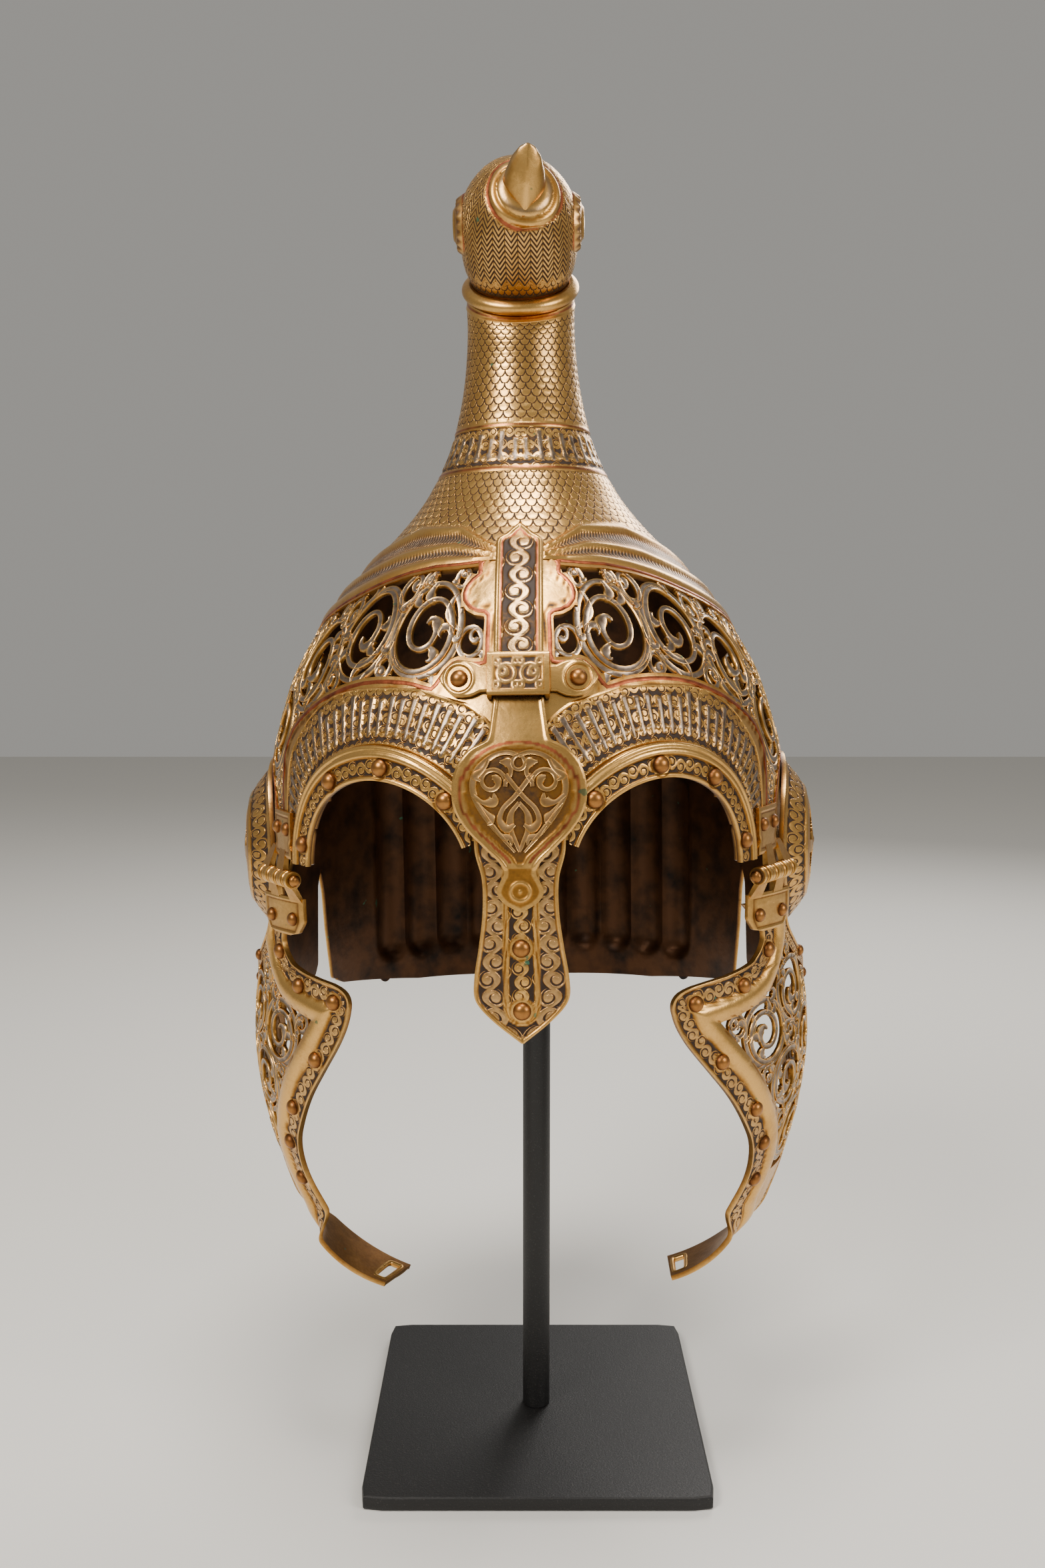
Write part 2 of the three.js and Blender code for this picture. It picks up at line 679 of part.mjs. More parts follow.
// Riveted rim of one eye arch, from the hinge to the nasal plate
function buildBrowRim() {
  const nasalSide = THREE.MathUtils.radToDeg(Math.asin((nasalHalfWidth + seatGap) / bowlHalf(nasalTop)));
  const place = (angle, margin, off) => {
    const [turn, z] = archPoint(angle, margin);
    return onBowl(Math.max(turn, nasalSide), z, off);
  };
  const angles = [0, 12, 26, 42, 58, 74, 90, 106, 122, 136, 148, 160];
  return plate(angles, [0, rimWidth / 2, rimWidth], place, plateGap, plateGap + plateWall);
}

// Domed roundel over the ear: rise of the dome at shares of the radius
const cupProfile = [[1, 0.02], [0.93, 0.06], [0.64, 0.72], [0.36, 0.94], [0, 1]];

function cupPlace(across, upward, off) {
  const [turn, z] = nearBowl(90, cupHeight, across, upward);
  return onBowl(turn, z, off);
}

function buildEarCup() {
  const angles = steps(0, 330, 11);
  const grid = (thickness) => angles.map((angle) => cupProfile.map(([share, rise]) => {
    const radius = share * cupRadius;
    const off = plateGap + rise * (cupBulge - plateWall - plateGap) + thickness;
    return cupPlace(radius * Math.cos(rad(angle)), radius * Math.sin(rad(angle)), off);
  }));
  const gaps = range(cupGaps).map((i) => {
    const middle = (360 * (i + 0.5)) / cupGaps;
    const half = 180 / cupGaps - 7;
    const outline = [[9, middle - half], [22, middle - half], [22, middle + half], [9, middle + half]]
      .map(([radius, angle]) => [radius * Math.cos(rad(angle)), radius * Math.sin(rad(angle))]);
    return prism(outline.map((p) => cupPlace(...p, cupBulge + 3)), outline.map((p) => cupPlace(...p, 6)));
  });
  return cut(sheet(grid(plateWall), grid(0), true), gaps);
}

// Hinge frame: the axis runs from the front inner end to the rear outer end
const hingeOut = rounded(bowlHalfWidth * Math.sin(rad(leafMiddle)) + hingeOffSide, 100);
const hingeForward = rounded(bowlHalfLength * Math.cos(rad(leafMiddle)) + hingeOffFront, 100);
const hingeCentre = vec(hingeOut, -hingeForward, hingeHeight);
const hingeAxis = vec(Math.sin(rad(hingeTurn)), Math.cos(rad(hingeTurn)), 0);
const hingeOutward = vec(Math.cos(rad(hingeTurn)), -Math.sin(rad(hingeTurn)), 0);

const byHinge = (along, outward, upward) => hingeCentre.clone()
  .addScaledVector(hingeAxis, along).addScaledVector(hingeOutward, outward).add(vec(0, 0, upward));

function barrelPiece(from, to, radius, hole) {
  const angles = steps(0, 315, 7);
  const tube = (r) => angles.map((angle) => [from, to].map((along) =>
    byHinge(along, r * Math.cos(rad(angle)), r * Math.sin(rad(angle)))));
  return sheet(tube(radius), tube(hole), true);
}

const knuckleSpans = range(knuckles).map((i) => {
  const pitch = hingeLength / knuckles;
  const start = -hingeLength / 2 + i * pitch;
  return [start + seatGap / 2, start + pitch - seatGap / 2];
});

// The leaf on the bowl carries the even knuckles
function buildUpperLeaf() {
  const knuckleHole = pinRadius + seatGap;
  const own = knuckleSpans.filter((_, i) => i % 2 === 1);
  const turns = steps(archCentre + archHalfAngle + 7, hingeGapAngle - 1.5, 2);
  const heights = [archSpring + 1, archSpring + leafTall];
  const leaf = plate(turns, heights, onBowl, plateGap, plateGap + plateWall);
  const tabs = own.flatMap(([from, to]) => {
    const leafFoot = (along, off) => {
      const spot = byHinge(along, 0, 0);
      const turn = Math.atan2(spot.x / bowlHalfWidth, -spot.y / bowlHalfLength);
      return onBowl(THREE.MathUtils.radToDeg(turn), archSpring + 3, off);
    };
    const top = plateGap + plateWall;
    const high = [leafFoot(from, plateGap), leafFoot(from, top), leafFoot(to, top), leafFoot(to, plateGap)];
    const low = [[from, -1.4], [from, 1.2], [to, 1.2], [to, -1.4]]
      .map(([along, outward]) => byHinge(along, outward, knuckleHole + 0.7));
    return [prism(high, low)];
  });
  return joined([leaf, ...tabs, ...own.map(([a, b]) => barrelPiece(a, b, barrelRadius, knuckleHole))]);
}

// Outer face of a cheek-piece at a depth and height, and a place off it
const cheekTop = hingeHeight - barrelRadius;

function cheekSkin(y, z) {
  const down = (cheekTop - z) / cheekDrop;
  const half = cheekHalfWidth * between(cheekLevels, "down", "half", THREE.MathUtils.clamp(down, 0.055, 1));
  const shrink = THREE.MathUtils.smoothstep(down, 0.72, 1.2);
  const long = cheekHalfLength * (1 - 0.38 * shrink);
  const share = (y - cheekCentre) / long;
  return vec(half * Math.sqrt(Math.max(1 - share * share, 0.01)), y, z);
}

function onCheek(y, z, off) {
  const reach = 0.5;
  const across = cheekSkin(y + reach, z).sub(cheekSkin(y - reach, z));
  const upward = cheekSkin(y, z + reach).sub(cheekSkin(y, z - reach));
  return cheekSkin(y, z).addScaledVector(across.cross(upward).normalize(), off);
}

// The leaf on the cheek-piece carries the odd knuckles
function buildLowerLeaf() {
  const knuckleHole = pinRadius + seatGap;
  const own = knuckleSpans.filter((_, i) => i % 2 === 0);
  const depths = [-hingeForward - 11, -hingeForward, -hingeForward + 11];
  const heights = [hingeHeight - barrelRadius - 4, hingeHeight - barrelRadius - leafTall];
  const leaf = plate(depths, heights, onCheek, plateGap, plateGap + plateWall);
  const tabs = own.map(([from, to]) => {
    const leafEdge = (along, off) =>
      onCheek(-hingeForward + along * 0.73, hingeHeight - barrelRadius - 6, off);
    const top = plateGap + plateWall;
    const low = [leafEdge(from, plateGap), leafEdge(from, top), leafEdge(to, top), leafEdge(to, plateGap)];
    const high = [[from, -1.3], [from, 1.3], [to, 1.3], [to, -1.3]]
      .map(([along, outward]) => byHinge(along, outward, -knuckleHole - 0.7));
    return prism(high, low);
  });
  return joined([leaf, ...tabs, ...own.map(([a, b]) => barrelPiece(a, b, barrelRadius, knuckleHole))]);
}

function buildPin() {
  const end = hingeLength / 2;
  const rings = [
    [-end - 2.6, 1.4], [-end - 1.7, 2.4], [-end - 0.6, 2.4], [-end - 0.5, pinRadius],
    [end + 0.5, pinRadius], [end + 0.6, 2.4], [end + 1.7, 2.4], [end + 2.6, 1.4],
  ].map(([along, radius]) => steps(0, 315, 7).map((angle) =>
    byHinge(along, radius * Math.cos(rad(angle)), radius * Math.sin(rad(angle)))));
  return ringedBody(rings, byHinge(-end - 2.8, 0, 0), byHinge(end + 2.8, 0, 0));
}

// Strap of a cheek-piece: it leaves the plate's lower end and leans in under the chin
function strapRow(share, side) {
  const last = cheekLevels[cheekLevels.length - 1];
  const front = cheekCentre - last.front * cheekFrontReach[side];
  const rear = cheekCentre + last.rear * cheekRearReach;
  const foot = cheekSkin((front + rear) / 2, cheekTop - cheekDrop);
  const lean = (s) => rad(strapStartLean + (strapEndLean[side] - strapStartLean) * s);
  const parts = 12;
  for (let i = 0; i < parts; i += 1) {
    const angle = lean((share * (i + 0.5)) / parts);
    foot.add(vec(-Math.sin(angle), 0, -Math.cos(angle)).multiplyScalar((strapLength[side] * share) / parts));
  }
  const angle = lean(share);
  const along = vec(-Math.sin(angle), 0, -Math.cos(angle));
  const turn = rad(strapStartTurn[side] + (strapEndTurn[side] - strapStartTurn[side]) * share);
  const rim = vec(Math.sin(turn), Math.cos(turn), 0);
  const width = strapStartWidth + (strapEndWidth - strapStartWidth) * share;
  return { foot, along, rim, width, face: along.clone().cross(rim).normalize() };
}

const cheekColumns = [0, 0.22, 0.48, 0.75, 1];

function buildCheek(side) {
  const plateRow = (row, off) => {
    const front = cheekCentre - row.front * cheekFrontReach[side];
    const rear = cheekCentre + row.rear * cheekRearReach;
    return cheekColumns.map((s) => onCheek(front + (rear - front) * s, cheekTop - row.down * cheekDrop, off));
  };
  const strapRows = steps(1 / strapSteps, 1, strapSteps - 1);
  const strap = (share, off) => {
    const { foot, rim, width, face } = strapRow(share, side);
    return cheekColumns.map((s) => foot.clone()
      .addScaledVector(rim, (s - 0.5) * width).addScaledVector(face, off));
  };
  const rows = (off) => [
    ...cheekLevels.map((row) => plateRow(row, off)),
    ...strapRows.map((share) => strap(share, off + cheekWall / 2)),
  ];
  const transposed = (grid) => cheekColumns.map((_, i) => grid.map((row) => row[i]));
  const body = sheet(transposed(rows(0)), transposed(rows(-cheekWall)));
  return joined([cut(body, [...cheekCutters(side), slotCutter(side)]), ...cheekRivets(side)]);
}

function slotCutter(side) {
  const { foot, along, rim, face } = strapRow(1 - (slotWidth / 2 + 2.2) / strapLength[side], side);
  const outline = [[-1, -1], [1, -1], [1, 1], [-1, 1]].map(([a, b]) => foot.clone()
    .addScaledVector(along, (a * slotWidth) / 2).addScaledVector(rim, (b * slotLength) / 2));
  return prism(
    outline.map((p) => p.clone().addScaledVector(face, 5)),
    outline.map((p) => p.clone().addScaledVector(face, -5)),
  );
}

// Scrolls of a cheek-piece: depth and height of the heart as shares, and radius
const cheekScrolls = [
  { front: 0.42, down: 0.46, radius: 17 },
  { front: 0.3, down: 0.68, radius: 10.5 },
];

function cheekCutters(side) {
  const depth = [-cheekWall - 4, 4];
  const place = (front, down) => (across, upward, off) =>
    onCheek(
      cheekCentre - front * cheekFrontReach[side] + across,
      cheekTop - down * cheekDrop + upward,
      off,
    );
  const scrolls = cheekScrolls.flatMap(({ front, down, radius }) =>
    scrollGaps(place(front, down), radius, scrollGapCount, ...depth));
  const corners = [[0.72, 0.45], [0.12, 0.57], [0.14, 0.36]];
  return [...scrolls, ...corners.map((spot) => diamondGap(place(...spot), 4.2, ...depth))];
}

// Rivets along the front and lower edges: depth and height shares
const cheekRivetSpots = [
  [0.665, 0.2], [0.79, 0.285], [0.95, 0.31], [0.885, 0.485], [0.74, 0.65], [0.65, 0.77], [0.56, 0.9],
];

function cheekRivets(side) {
  return cheekRivetSpots.map(([front, down]) => {
    const y = cheekCentre - front * cheekFrontReach[side];
    const z = cheekTop - down * cheekDrop;
    const normal = onCheek(y, z, 1).sub(onCheek(y, z, 0)).normalize();
    return rivetHead(onCheek(y, z, -cheekWall / 2), normal);
  });
}

// Rivets that are pieces of their own, for the right side: name and place
function looseRivets() {
  const found = [];
  const top = plateGap + plateWall + seatGap;
  const bowlRivet = (name, turn, z, off) => found.push([
    name, rivetHead(onBowl(turn, z, off), bowlNormal(turn, z)),
  ]);
  [12, 58, 94, 134].forEach((angle, i) => {
    const [turn, z] = archPoint(angle, rimWidth * 0.36);
    bowlRivet(`brow_rivet_${i + 1}`, turn, z, top);
  });
  const earTurn = THREE.MathUtils.radToDeg(Math.asin(keeperRivetReach / bowlHalf(keeperHeight)));
  bowlRivet("keeper_rivet", earTurn, keeperHeight, top);
  [-3, 3].forEach((step, i) => {
    bowlRivet(`hinge_rivet_upper_${i + 1}`, leafMiddle + step, archSpring + leafTall * 0.65, top);
    const y = -hingeForward + step * 2;
    const z = hingeHeight - barrelRadius - leafTall * 0.65;
    const normal = onCheek(y, z, 1).sub(onCheek(y, z, 0)).normalize();
    found.push([`hinge_rivet_lower_${i + 1}`, rivetHead(onCheek(y, z, top), normal)]);
  });
  return found;
}

function nasalRivets() {
  return [0.66, 0.88].map((down, i) => {
    const z = nasalTop - down * (nasalTop - nasalTip);
    return [`nasal_rivet_${i + 1}`, rivetHead(onFront(0, z, plateGap + plateWall + seatGap), vec(0, -1, 0))];
  });
}

// Stand: square foot, round rod and a disc that the bowl rests on from inside
const padTop = bowlBase + bowlRise * padLevel;

function buildFoot() {
  const foot = new THREE.BoxGeometry(footSide, footSide, footThickness);
  foot.translate(0, 0, footThickness / 2);
  return toManifold(foot);
}

function buildRod() {
  const length = padTop - padThickness - footThickness - 2 * seatGap;
  const rod = new THREE.CylinderGeometry(rodDiameter / 2, rodDiameter / 2, length, 16);
  rod.rotateX(Math.PI / 2);
  rod.translate(0, 0, footThickness + seatGap + length / 2);
  return toManifold(rod);
}

function buildPad() {
  const turns = bowlTurns().filter((_, i) => i % 4 === 0);
  const seat = turns.map((turn) => onBowl(turn, padTop, -bowlWall - seatGap));
  const low = padTop - padThickness;
  const drawnIn = (share, height) => seat.map((p) => vec(p.x * share, p.y * share, height));
  const rings = [drawnIn(0.5, low), drawnIn(0.96, padTop - 5), drawnIn(1, seat[0].z)];
  return ringedBody(rings, vec(0, 0, low), vec(0, 0, seat[0].z));
}

// Assembly: the helmet is turned and leans about the point where the pad carries it
const helmet = new THREE.Group();
helmet.position.z = -padTop;
const seat = new THREE.Group();
seat.position.set(-helmetOffset, 0, padTop);
seat.rotation.set(0, rad(helmetLean), rad(helmetTurn));
seat.add(helmet);
const stand = new THREE.Group();
const whole = new THREE.Group();
whole.add(seat, stand);

function addPiece(group, name, body, finish) {
  const mesh = new THREE.Mesh(toGeometry(body), new THREE.MeshStandardMaterial(finish));
  mesh.name = name;
  group.add(mesh);
}

function addPair(name, body, finish) {
  addPiece(helmet, `${name}_right`, body, finish);
  addPiece(helmet, `${name}_left`, mirrored(body), finish);
}

addPiece(stand, "stand_foot", buildFoot(), blackFinish);
addPiece(stand, "stand_rod", buildRod(), blackFinish);
addPiece(helmet, "stand_pad", buildPad(), blackFinish);
addPiece(helmet, "bowl", buildBowl(), brassFinish);
addPiece(helmet, "bird_neck", buildNeck(), brassFinish);
addPiece(helmet, "collar_ring", buildCollar(), brassFinish);
addPiece(helmet, "bird_head", buildHead(), brassFinish);
addPiece(helmet, "nasal_plate", buildNasal(), brassFinish);
addPiece(helmet, "nasal_slide", buildSlide(), brassFinish);
addPiece(helmet, "slide_keeper", buildKeeper(), brassFinish);
addPair("brow_rim", buildBrowRim(), brassFinish);
addPair("ear_cup", buildEarCup(), brassFinish);
addPair("hinge_upper_leaf", buildUpperLeaf(), brassFinish);
addPair("hinge_lower_leaf", buildLowerLeaf(), brassFinish);
addPair("hinge_pin", buildPin(), darkBrassFinish);
addPiece(helmet, "cheek_piece_right", buildCheek("right"), brassFinish);
addPiece(helmet, "cheek_piece_left", mirrored(buildCheek("left")), brassFinish);
for (const [name, body] of looseRivets()) addPair(name, body, darkBrassFinish);
for (const [name, body] of nasalRivets()) addPiece(helmet, name, body, darkBrassFinish);

export default whole;
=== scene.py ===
# A pierced and inlaid brass helmet with a bird's head finial on a plain black stand.
# Surfaces are worked out in millimetres in the helmet's own frame, the face toward -Y,
# and then seated on the stand in metres.
import math

import bpy
import numpy as np
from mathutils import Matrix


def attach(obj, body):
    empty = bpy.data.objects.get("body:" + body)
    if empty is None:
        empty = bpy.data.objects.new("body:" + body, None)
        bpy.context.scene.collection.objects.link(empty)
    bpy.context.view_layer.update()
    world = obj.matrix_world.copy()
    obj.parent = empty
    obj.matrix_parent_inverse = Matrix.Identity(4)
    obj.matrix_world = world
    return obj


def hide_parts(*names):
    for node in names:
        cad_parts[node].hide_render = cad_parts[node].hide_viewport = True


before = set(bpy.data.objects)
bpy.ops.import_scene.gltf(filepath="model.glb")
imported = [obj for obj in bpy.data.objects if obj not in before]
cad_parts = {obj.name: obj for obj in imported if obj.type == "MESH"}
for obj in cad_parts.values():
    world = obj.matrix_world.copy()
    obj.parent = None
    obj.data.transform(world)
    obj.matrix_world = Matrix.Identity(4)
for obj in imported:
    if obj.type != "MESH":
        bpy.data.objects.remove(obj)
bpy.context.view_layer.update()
ROOT = "helmet_on_stand"
TAU = 2 * np.pi
SIDES = ((1, "right"), (-1, "left"))

# Bowl: height of its base line, rise to the neck, half width and half length, and where the pad carries it
BASE, RISE, HALF_WIDTH, HALF_LENGTH = 319.0, 116.0, 112.5, 121.5
PAD_LEVEL = BASE + RISE * 0.83
NECK_JOINT = BASE + RISE
# Thickness of the bowl and the cheek-pieces, gap under what is riveted on, and thickness of such plates
WALL, PLATE_GAP, PLATE = 2.0, 0.5, 1.6

# Seat of the helmet on the stand: turn, lean and offset, about the point where the pad carries it
SEAT_TURN, SEAT_LEAN = np.radians(-1.5), np.radians(-0.8)
SEAT_PIVOT = np.array([0.0, 0.0, PAD_LEVEL])
SEAT_OFFSET = np.array([-6.0, 0.0, 0.0])
LEAN = np.array([
    [np.cos(SEAT_LEAN), 0, np.sin(SEAT_LEAN)], [0, 1, 0], [-np.sin(SEAT_LEAN), 0, np.cos(SEAT_LEAN)],
])
TURN = np.array([
    [np.cos(SEAT_TURN), -np.sin(SEAT_TURN), 0], [np.sin(SEAT_TURN), np.cos(SEAT_TURN), 0], [0, 0, 1],
])
SEAT = LEAN @ TURN


def seated(points):
    """Helmet millimetres to stand metres: turn and lean about the pivot, then shift."""
    return ((points - SEAT_PIVOT) @ SEAT.T + SEAT_PIVOT + SEAT_OFFSET) * 0.001


def smooth(x, low, high):
    """Smooth step from 0 at low to 1 at high: 3t^2 - 2t^3."""
    t = np.clip((x - low) / (high - low), 0, 1)
    return t * t * (3 - 2 * t)


def bump(x, centre, half):
    """A rounded ridge: the cosine bell of a half width round a centre."""
    t = np.clip(np.abs(x - centre) / half, 0, 1)
    return 0.5 + 0.5 * np.cos(np.pi * t)


def half_rounds(x, *rounds):
    """Mouldings of half round section, each given by its middle and half width, as heights from 0 to 1."""
    return sum(np.sqrt(np.clip(1 - ((x - middle) / half) ** 2, 0, 1)) for middle, half in rounds)


def unit(v):
    """Vectors of length 1."""
    return v / np.maximum(np.linalg.norm(v, axis=-1, keepdims=True), 1e-9)


# Materials
def linear(hex_colour):
    """sRGB hex to linear colour, opaque."""
    srgb = [int(hex_colour[i:i + 2], 16) / 255 for i in (1, 3, 5)]
    return tuple(c / 12.92 if c <= 0.04045 else ((c + 0.055) / 1.055) ** 2.4 for c in srgb) + (1.0,)


def node(tree, kind, inputs=None, **settings):
    """Adds a node with its settings; an input is a value or another node's socket."""
    made = tree.nodes.new("ShaderNode" + kind)
    for key, value in settings.items():
        setattr(made, key, value)
    for key, value in (inputs or {}).items():
        if isinstance(value, bpy.types.NodeSocket):
            tree.links.new(value, made.inputs[key])
        else:
            made.inputs[key].default_value = value
    return made


def blank_material(name):
    """A new material with its node tree and shader."""
    material = bpy.data.materials.new(name)
    material.use_nodes = True
    tree = material.node_tree
    shader = tree.nodes["Principled BSDF"]
    return material, tree, shader


def pattern(tree, attribute, steps):
    """Works through named steps of arithmetic that start from the x, y and z of an attribute."""
    source = node(tree, "Attribute", attribute_name=attribute).outputs["Vector"]
    known = dict(zip("xyz", node(tree, "SeparateXYZ", {0: source}).outputs))
    for name, operation, *terms in steps:
        inputs = {place: known.get(term, term) for place, term in enumerate(terms)}
        known[name] = node(tree, "Math", inputs, operation=operation).outputs[0]
    return known[name]


# Fine cut lines. Where z is above 0 they go round scales 1 wide in rows 1 high, every second row shifted by
# half: the line lies where the oval round a row's heart is 1. Where z is below 0 they are the barbs of
# feathers 1 wide, one to each step of y, that slant up to the quill.
CUT_LINES = (
    ("row", "FLOOR", "y"),
    ("below", "SUBTRACT", "row", "y"),
    ("up", "ADD", "below", 1.0),
    ("odd", "FLOORED_MODULO", "row", 2.0),
    ("shifted", "MULTIPLY_ADD", "odd", 0.5, "x"),
    ("part", "FRACT", "shifted"),
    ("wide", "MULTIPLY_ADD", "part", 2.0, -1.0),
    ("wide squared", "MULTIPLY", "wide", "wide"),
    ("oval squared", "MULTIPLY_ADD", "up", "up", "wide squared"),
    ("oval", "SQRT", "oval squared"),
    ("beyond", "SUBTRACT", "oval", 1.0),
    ("far", "ABSOLUTE", "beyond"),
    ("fall", "MULTIPLY_ADD", "far", -11.0, 1.55),
    ("up to one", "MINIMUM", "fall", 1.0),
    ("scale line", "MAXIMUM", "up to one", 0.0),
    ("from edge", "PINGPONG", "x", 0.5),
    ("slant", "MULTIPLY_ADD", "from edge", 3.2, "y"),
    ("from barb", "PINGPONG", "slant", 0.5),
    ("barb fall", "MULTIPLY_ADD", "from barb", -6.0, 1.8),
    ("quill fall", "MULTIPLY_ADD", "from edge", -30.0, 1.1),
    ("stronger", "MAXIMUM", "barb fall", "quill fall"),
    ("capped", "MINIMUM", "stronger", 1.0),
    ("feather line", "MAXIMUM", "capped", 0.0),
    ("scaled", "MAXIMUM", "z", 0.0),
    ("turned", "MULTIPLY", "z", -1.0),
    ("feathered", "MAXIMUM", "turned", 0.0),
    ("scales", "MULTIPLY", "scale line", "scaled"),
    ("cut", "MULTIPLY_ADD", "feather line", "feathered", "scales"),
)
# The dark ground of a running scroll in rows 1 high: a stem waves once in each step of x, and in each of its
# bays lies a curl, where radius x 4.3 less angle / turn is a whole number, with a bud at its heart.
SCROLL_GROUND = (
    ("row", "ROUND", "y"),
    ("height", "SUBTRACT", "y", "row"),
    ("along", "MULTIPLY_ADD", "row", 0.37, "x"),
    ("angle", "MULTIPLY", "along", TAU),
    ("sine", "SINE", "angle"),
    ("cosine", "COSINE", "angle"),
    ("rise", "MULTIPLY_ADD", "sine", -0.3, "height"),
    ("slope", "MULTIPLY", "cosine", 1.3),
    ("stretch squared", "MULTIPLY_ADD", "slope", "slope", 1.0),
    ("stretch", "SQRT", "stretch squared"),
    ("stem", "DIVIDE", "rise", "stretch"),
    ("off stem", "ABSOLUTE", "stem"),
    ("bays", "MULTIPLY", "along", 2.0),
    ("bay", "FLOOR", "bays"),
    ("odd", "FLOORED_MODULO", "bay", 2.0),
    ("way", "MULTIPLY_ADD", "odd", -2.0, 1.0),
    ("in bay", "FRACT", "bays"),
    ("across", "MULTIPLY_ADD", "in bay", 0.725, -0.3625),
    ("lift", "MULTIPLY_ADD", "height", "way", 0.12),
    ("lift squared", "MULTIPLY", "lift", "lift"),
    ("radius squared", "MULTIPLY_ADD", "across", "across", "lift squared"),
    ("radius", "SQRT", "radius squared"),
    ("turn", "ARCTAN2", "lift", "across"),
    ("coils", "MULTIPLY", "radius", 4.3),
    ("winding", "MULTIPLY_ADD", "turn", -1 / TAU, "coils"),
    ("off coil", "PINGPONG", "winding", 0.5),
    ("curl", "MULTIPLY", "off coil", 0.232),
    ("rim", "SUBTRACT", "radius", 0.3),
    ("off curl", "MAXIMUM", "curl", "rim"),
    ("bud", "SUBTRACT", "radius", 0.07),
    ("nearer", "MINIMUM", "off stem", "off curl"),
    ("nearest", "MINIMUM", "nearer", "bud"),
    ("edge", "MULTIPLY_ADD", "nearest", 26.0, -1.5),
    ("from zero", "MAXIMUM", "edge", 0.0),
    ("ground", "MINIMUM", "from zero", 1.0),
    ("dark", "MULTIPLY", "ground", "z"),
)


# Colours laid over the metal by attribute: silver and copper inlay, and inner, a dark colour on the inside of
# the walls that is painted shade for the hollow of the helmet. Each has its colour in the clouds' hollows and
# heights, and the scale of the clouds
INLAYS_AND_INNER_SHADE = (
    ("silver", "#4a3e37", "#978a80", 260.0),
    ("copper", "#57291a", "#a95c3c", 260.0),
    ("inner", "#120a05", "#54341a", 90.0),
)


def aged_metal(name, high, middle, recess, rough, worn=1.0, inlay=True):
    """Cast or hammered metal, polished on its high places and dark in its recesses.

    The tone attribute runs from 0 in a recess to 1 on a high place; cloudy and fine noise move it. Silver and
    copper attributes lay their inlay colours over it, and the inner attribute lays a dark painted shade over
    the inside of the walls."""
    material, tree, shader = blank_material(name)
    place = node(tree, "TexCoord").outputs["Object"]
    # Handling wears in patches about 20 mm across, and casting grain is about 1 mm
    cloud = node(tree, "TexNoise", {"Vector": place, "Scale": 48.0, "Detail": 5.0, "Roughness": 0.62})
    grain = node(tree, "TexNoise", {"Vector": place, "Scale": 900.0, "Detail": 3.0})
    tone = node(tree, "Attribute", attribute_name="tone").outputs["Fac"]
    shift = node(
        tree, "Math", {0: cloud.outputs["Fac"], 1: 0.8 * worn, 2: -0.42 * worn}, operation="MULTIPLY_ADD")
    fine = node(tree, "Math", {0: grain.outputs["Fac"], 1: 0.26, 2: -0.13}, operation="MULTIPLY_ADD")
    level = node(tree, "Math", {0: tone, 1: shift.outputs[0]}, operation="ADD")
    if inlay:
        ground = pattern(tree, "scroll", SCROLL_GROUND)
        lines = pattern(tree, "cells", CUT_LINES)
        cut = node(tree, "Math", {0: lines, 1: ground}, operation="MAXIMUM").outputs[0]
        level = node(tree, "Math", {0: cut, 1: -0.82, 2: level.outputs[0]}, operation="MULTIPLY_ADD")
    level = node(tree, "Math", {0: level.outputs[0], 1: fine.outputs[0]}, operation="ADD", use_clamp=True)
    ramp = node(tree, "ValToRGB", {0: level.outputs[0]})
    stops = ramp.color_ramp.elements
    stops[0].position, stops[0].color = 0.08, linear(recess)
    stops[1].position, stops[1].color = 0.95, linear(high)
    mid = stops.new(0.5)
    mid.color = linear(middle)
    colour = ramp.outputs[0]
    gloss = node(tree, "MapRange", {0: level.outputs[0], 3: rough + 0.32, 4: rough})
    metal = node(tree, "MapRange", {0: level.outputs[0], 1: 0.05, 2: 0.35, 3: 0.35, 4: 1.0}).outputs[0]
    # Dents a few millimetres across from the hammer, and the engraved lines
    dents = node(tree, "TexNoise", {"Vector": place, "Scale": 320.0, "Detail": 6.0})
    relief = node(tree, "Bump", {"Height": dents.outputs["Fac"], "Strength": 0.2, "Distance": 0.0006})
    if inlay:
        bare = node(tree, "Math", {0: 1.0, 1: cut}, operation="SUBTRACT").outputs[0]
        for mark, dark, pale, size in INLAYS_AND_INNER_SHADE:
            amount = node(tree, "Attribute", attribute_name=mark).outputs["Fac"]
            amount = node(tree, "Math", {0: amount, 1: bare}, operation="MULTIPLY").outputs[0]
            patch = node(tree, "TexNoise", {"Vector": place, "Scale": size, "Detail": 5.0})
            spread = node(tree, "MapRange", {0: patch.outputs["Fac"], 1: 0.25, 2: 0.6})
            inlaid = node(
                tree, "Mix", {0: spread.outputs[0], 6: linear(dark), 7: linear(pale)}, data_type="RGBA")
            mixed = node(tree, "Mix", {0: amount, 6: colour, 7: inlaid.outputs[2]}, data_type="RGBA")
            colour = mixed.outputs[2]
            # Inside the walls the painted shade also brings the metallic down toward 0.65
            if mark == "inner":
                metal = node(tree, "Mix", {0: amount, 2: metal, 3: 0.65}).outputs[0]
        # Green specks of corrosion, a millimetre or two across
        speck = node(tree, "TexNoise", {"Vector": place, "Scale": 150.0, "Detail": 2.0})
        green = node(tree, "MapRange", {0: speck.outputs["Fac"], 1: 0.745, 2: 0.77, 3: 0.0, 4: 0.7})
        mixed = node(tree, "Mix", {0: green.outputs[0], 6: colour, 7: linear("#3c7358")}, data_type="RGBA")
        colour = mixed.outputs[2]
        relief = node(tree, "Bump", {
            "Height": cut, "Strength": 0.7, "Distance": 0.0004, "Normal": relief.outputs[0]}, invert=True)
    tree.links.new(colour, shader.inputs["Base Color"])
    tree.links.new(metal, shader.inputs["Metallic"])
    tree.links.new(gloss.outputs[0], shader.inputs["Roughness"])
    tree.links.new(relief.outputs[0], shader.inputs["Normal"])
    return material


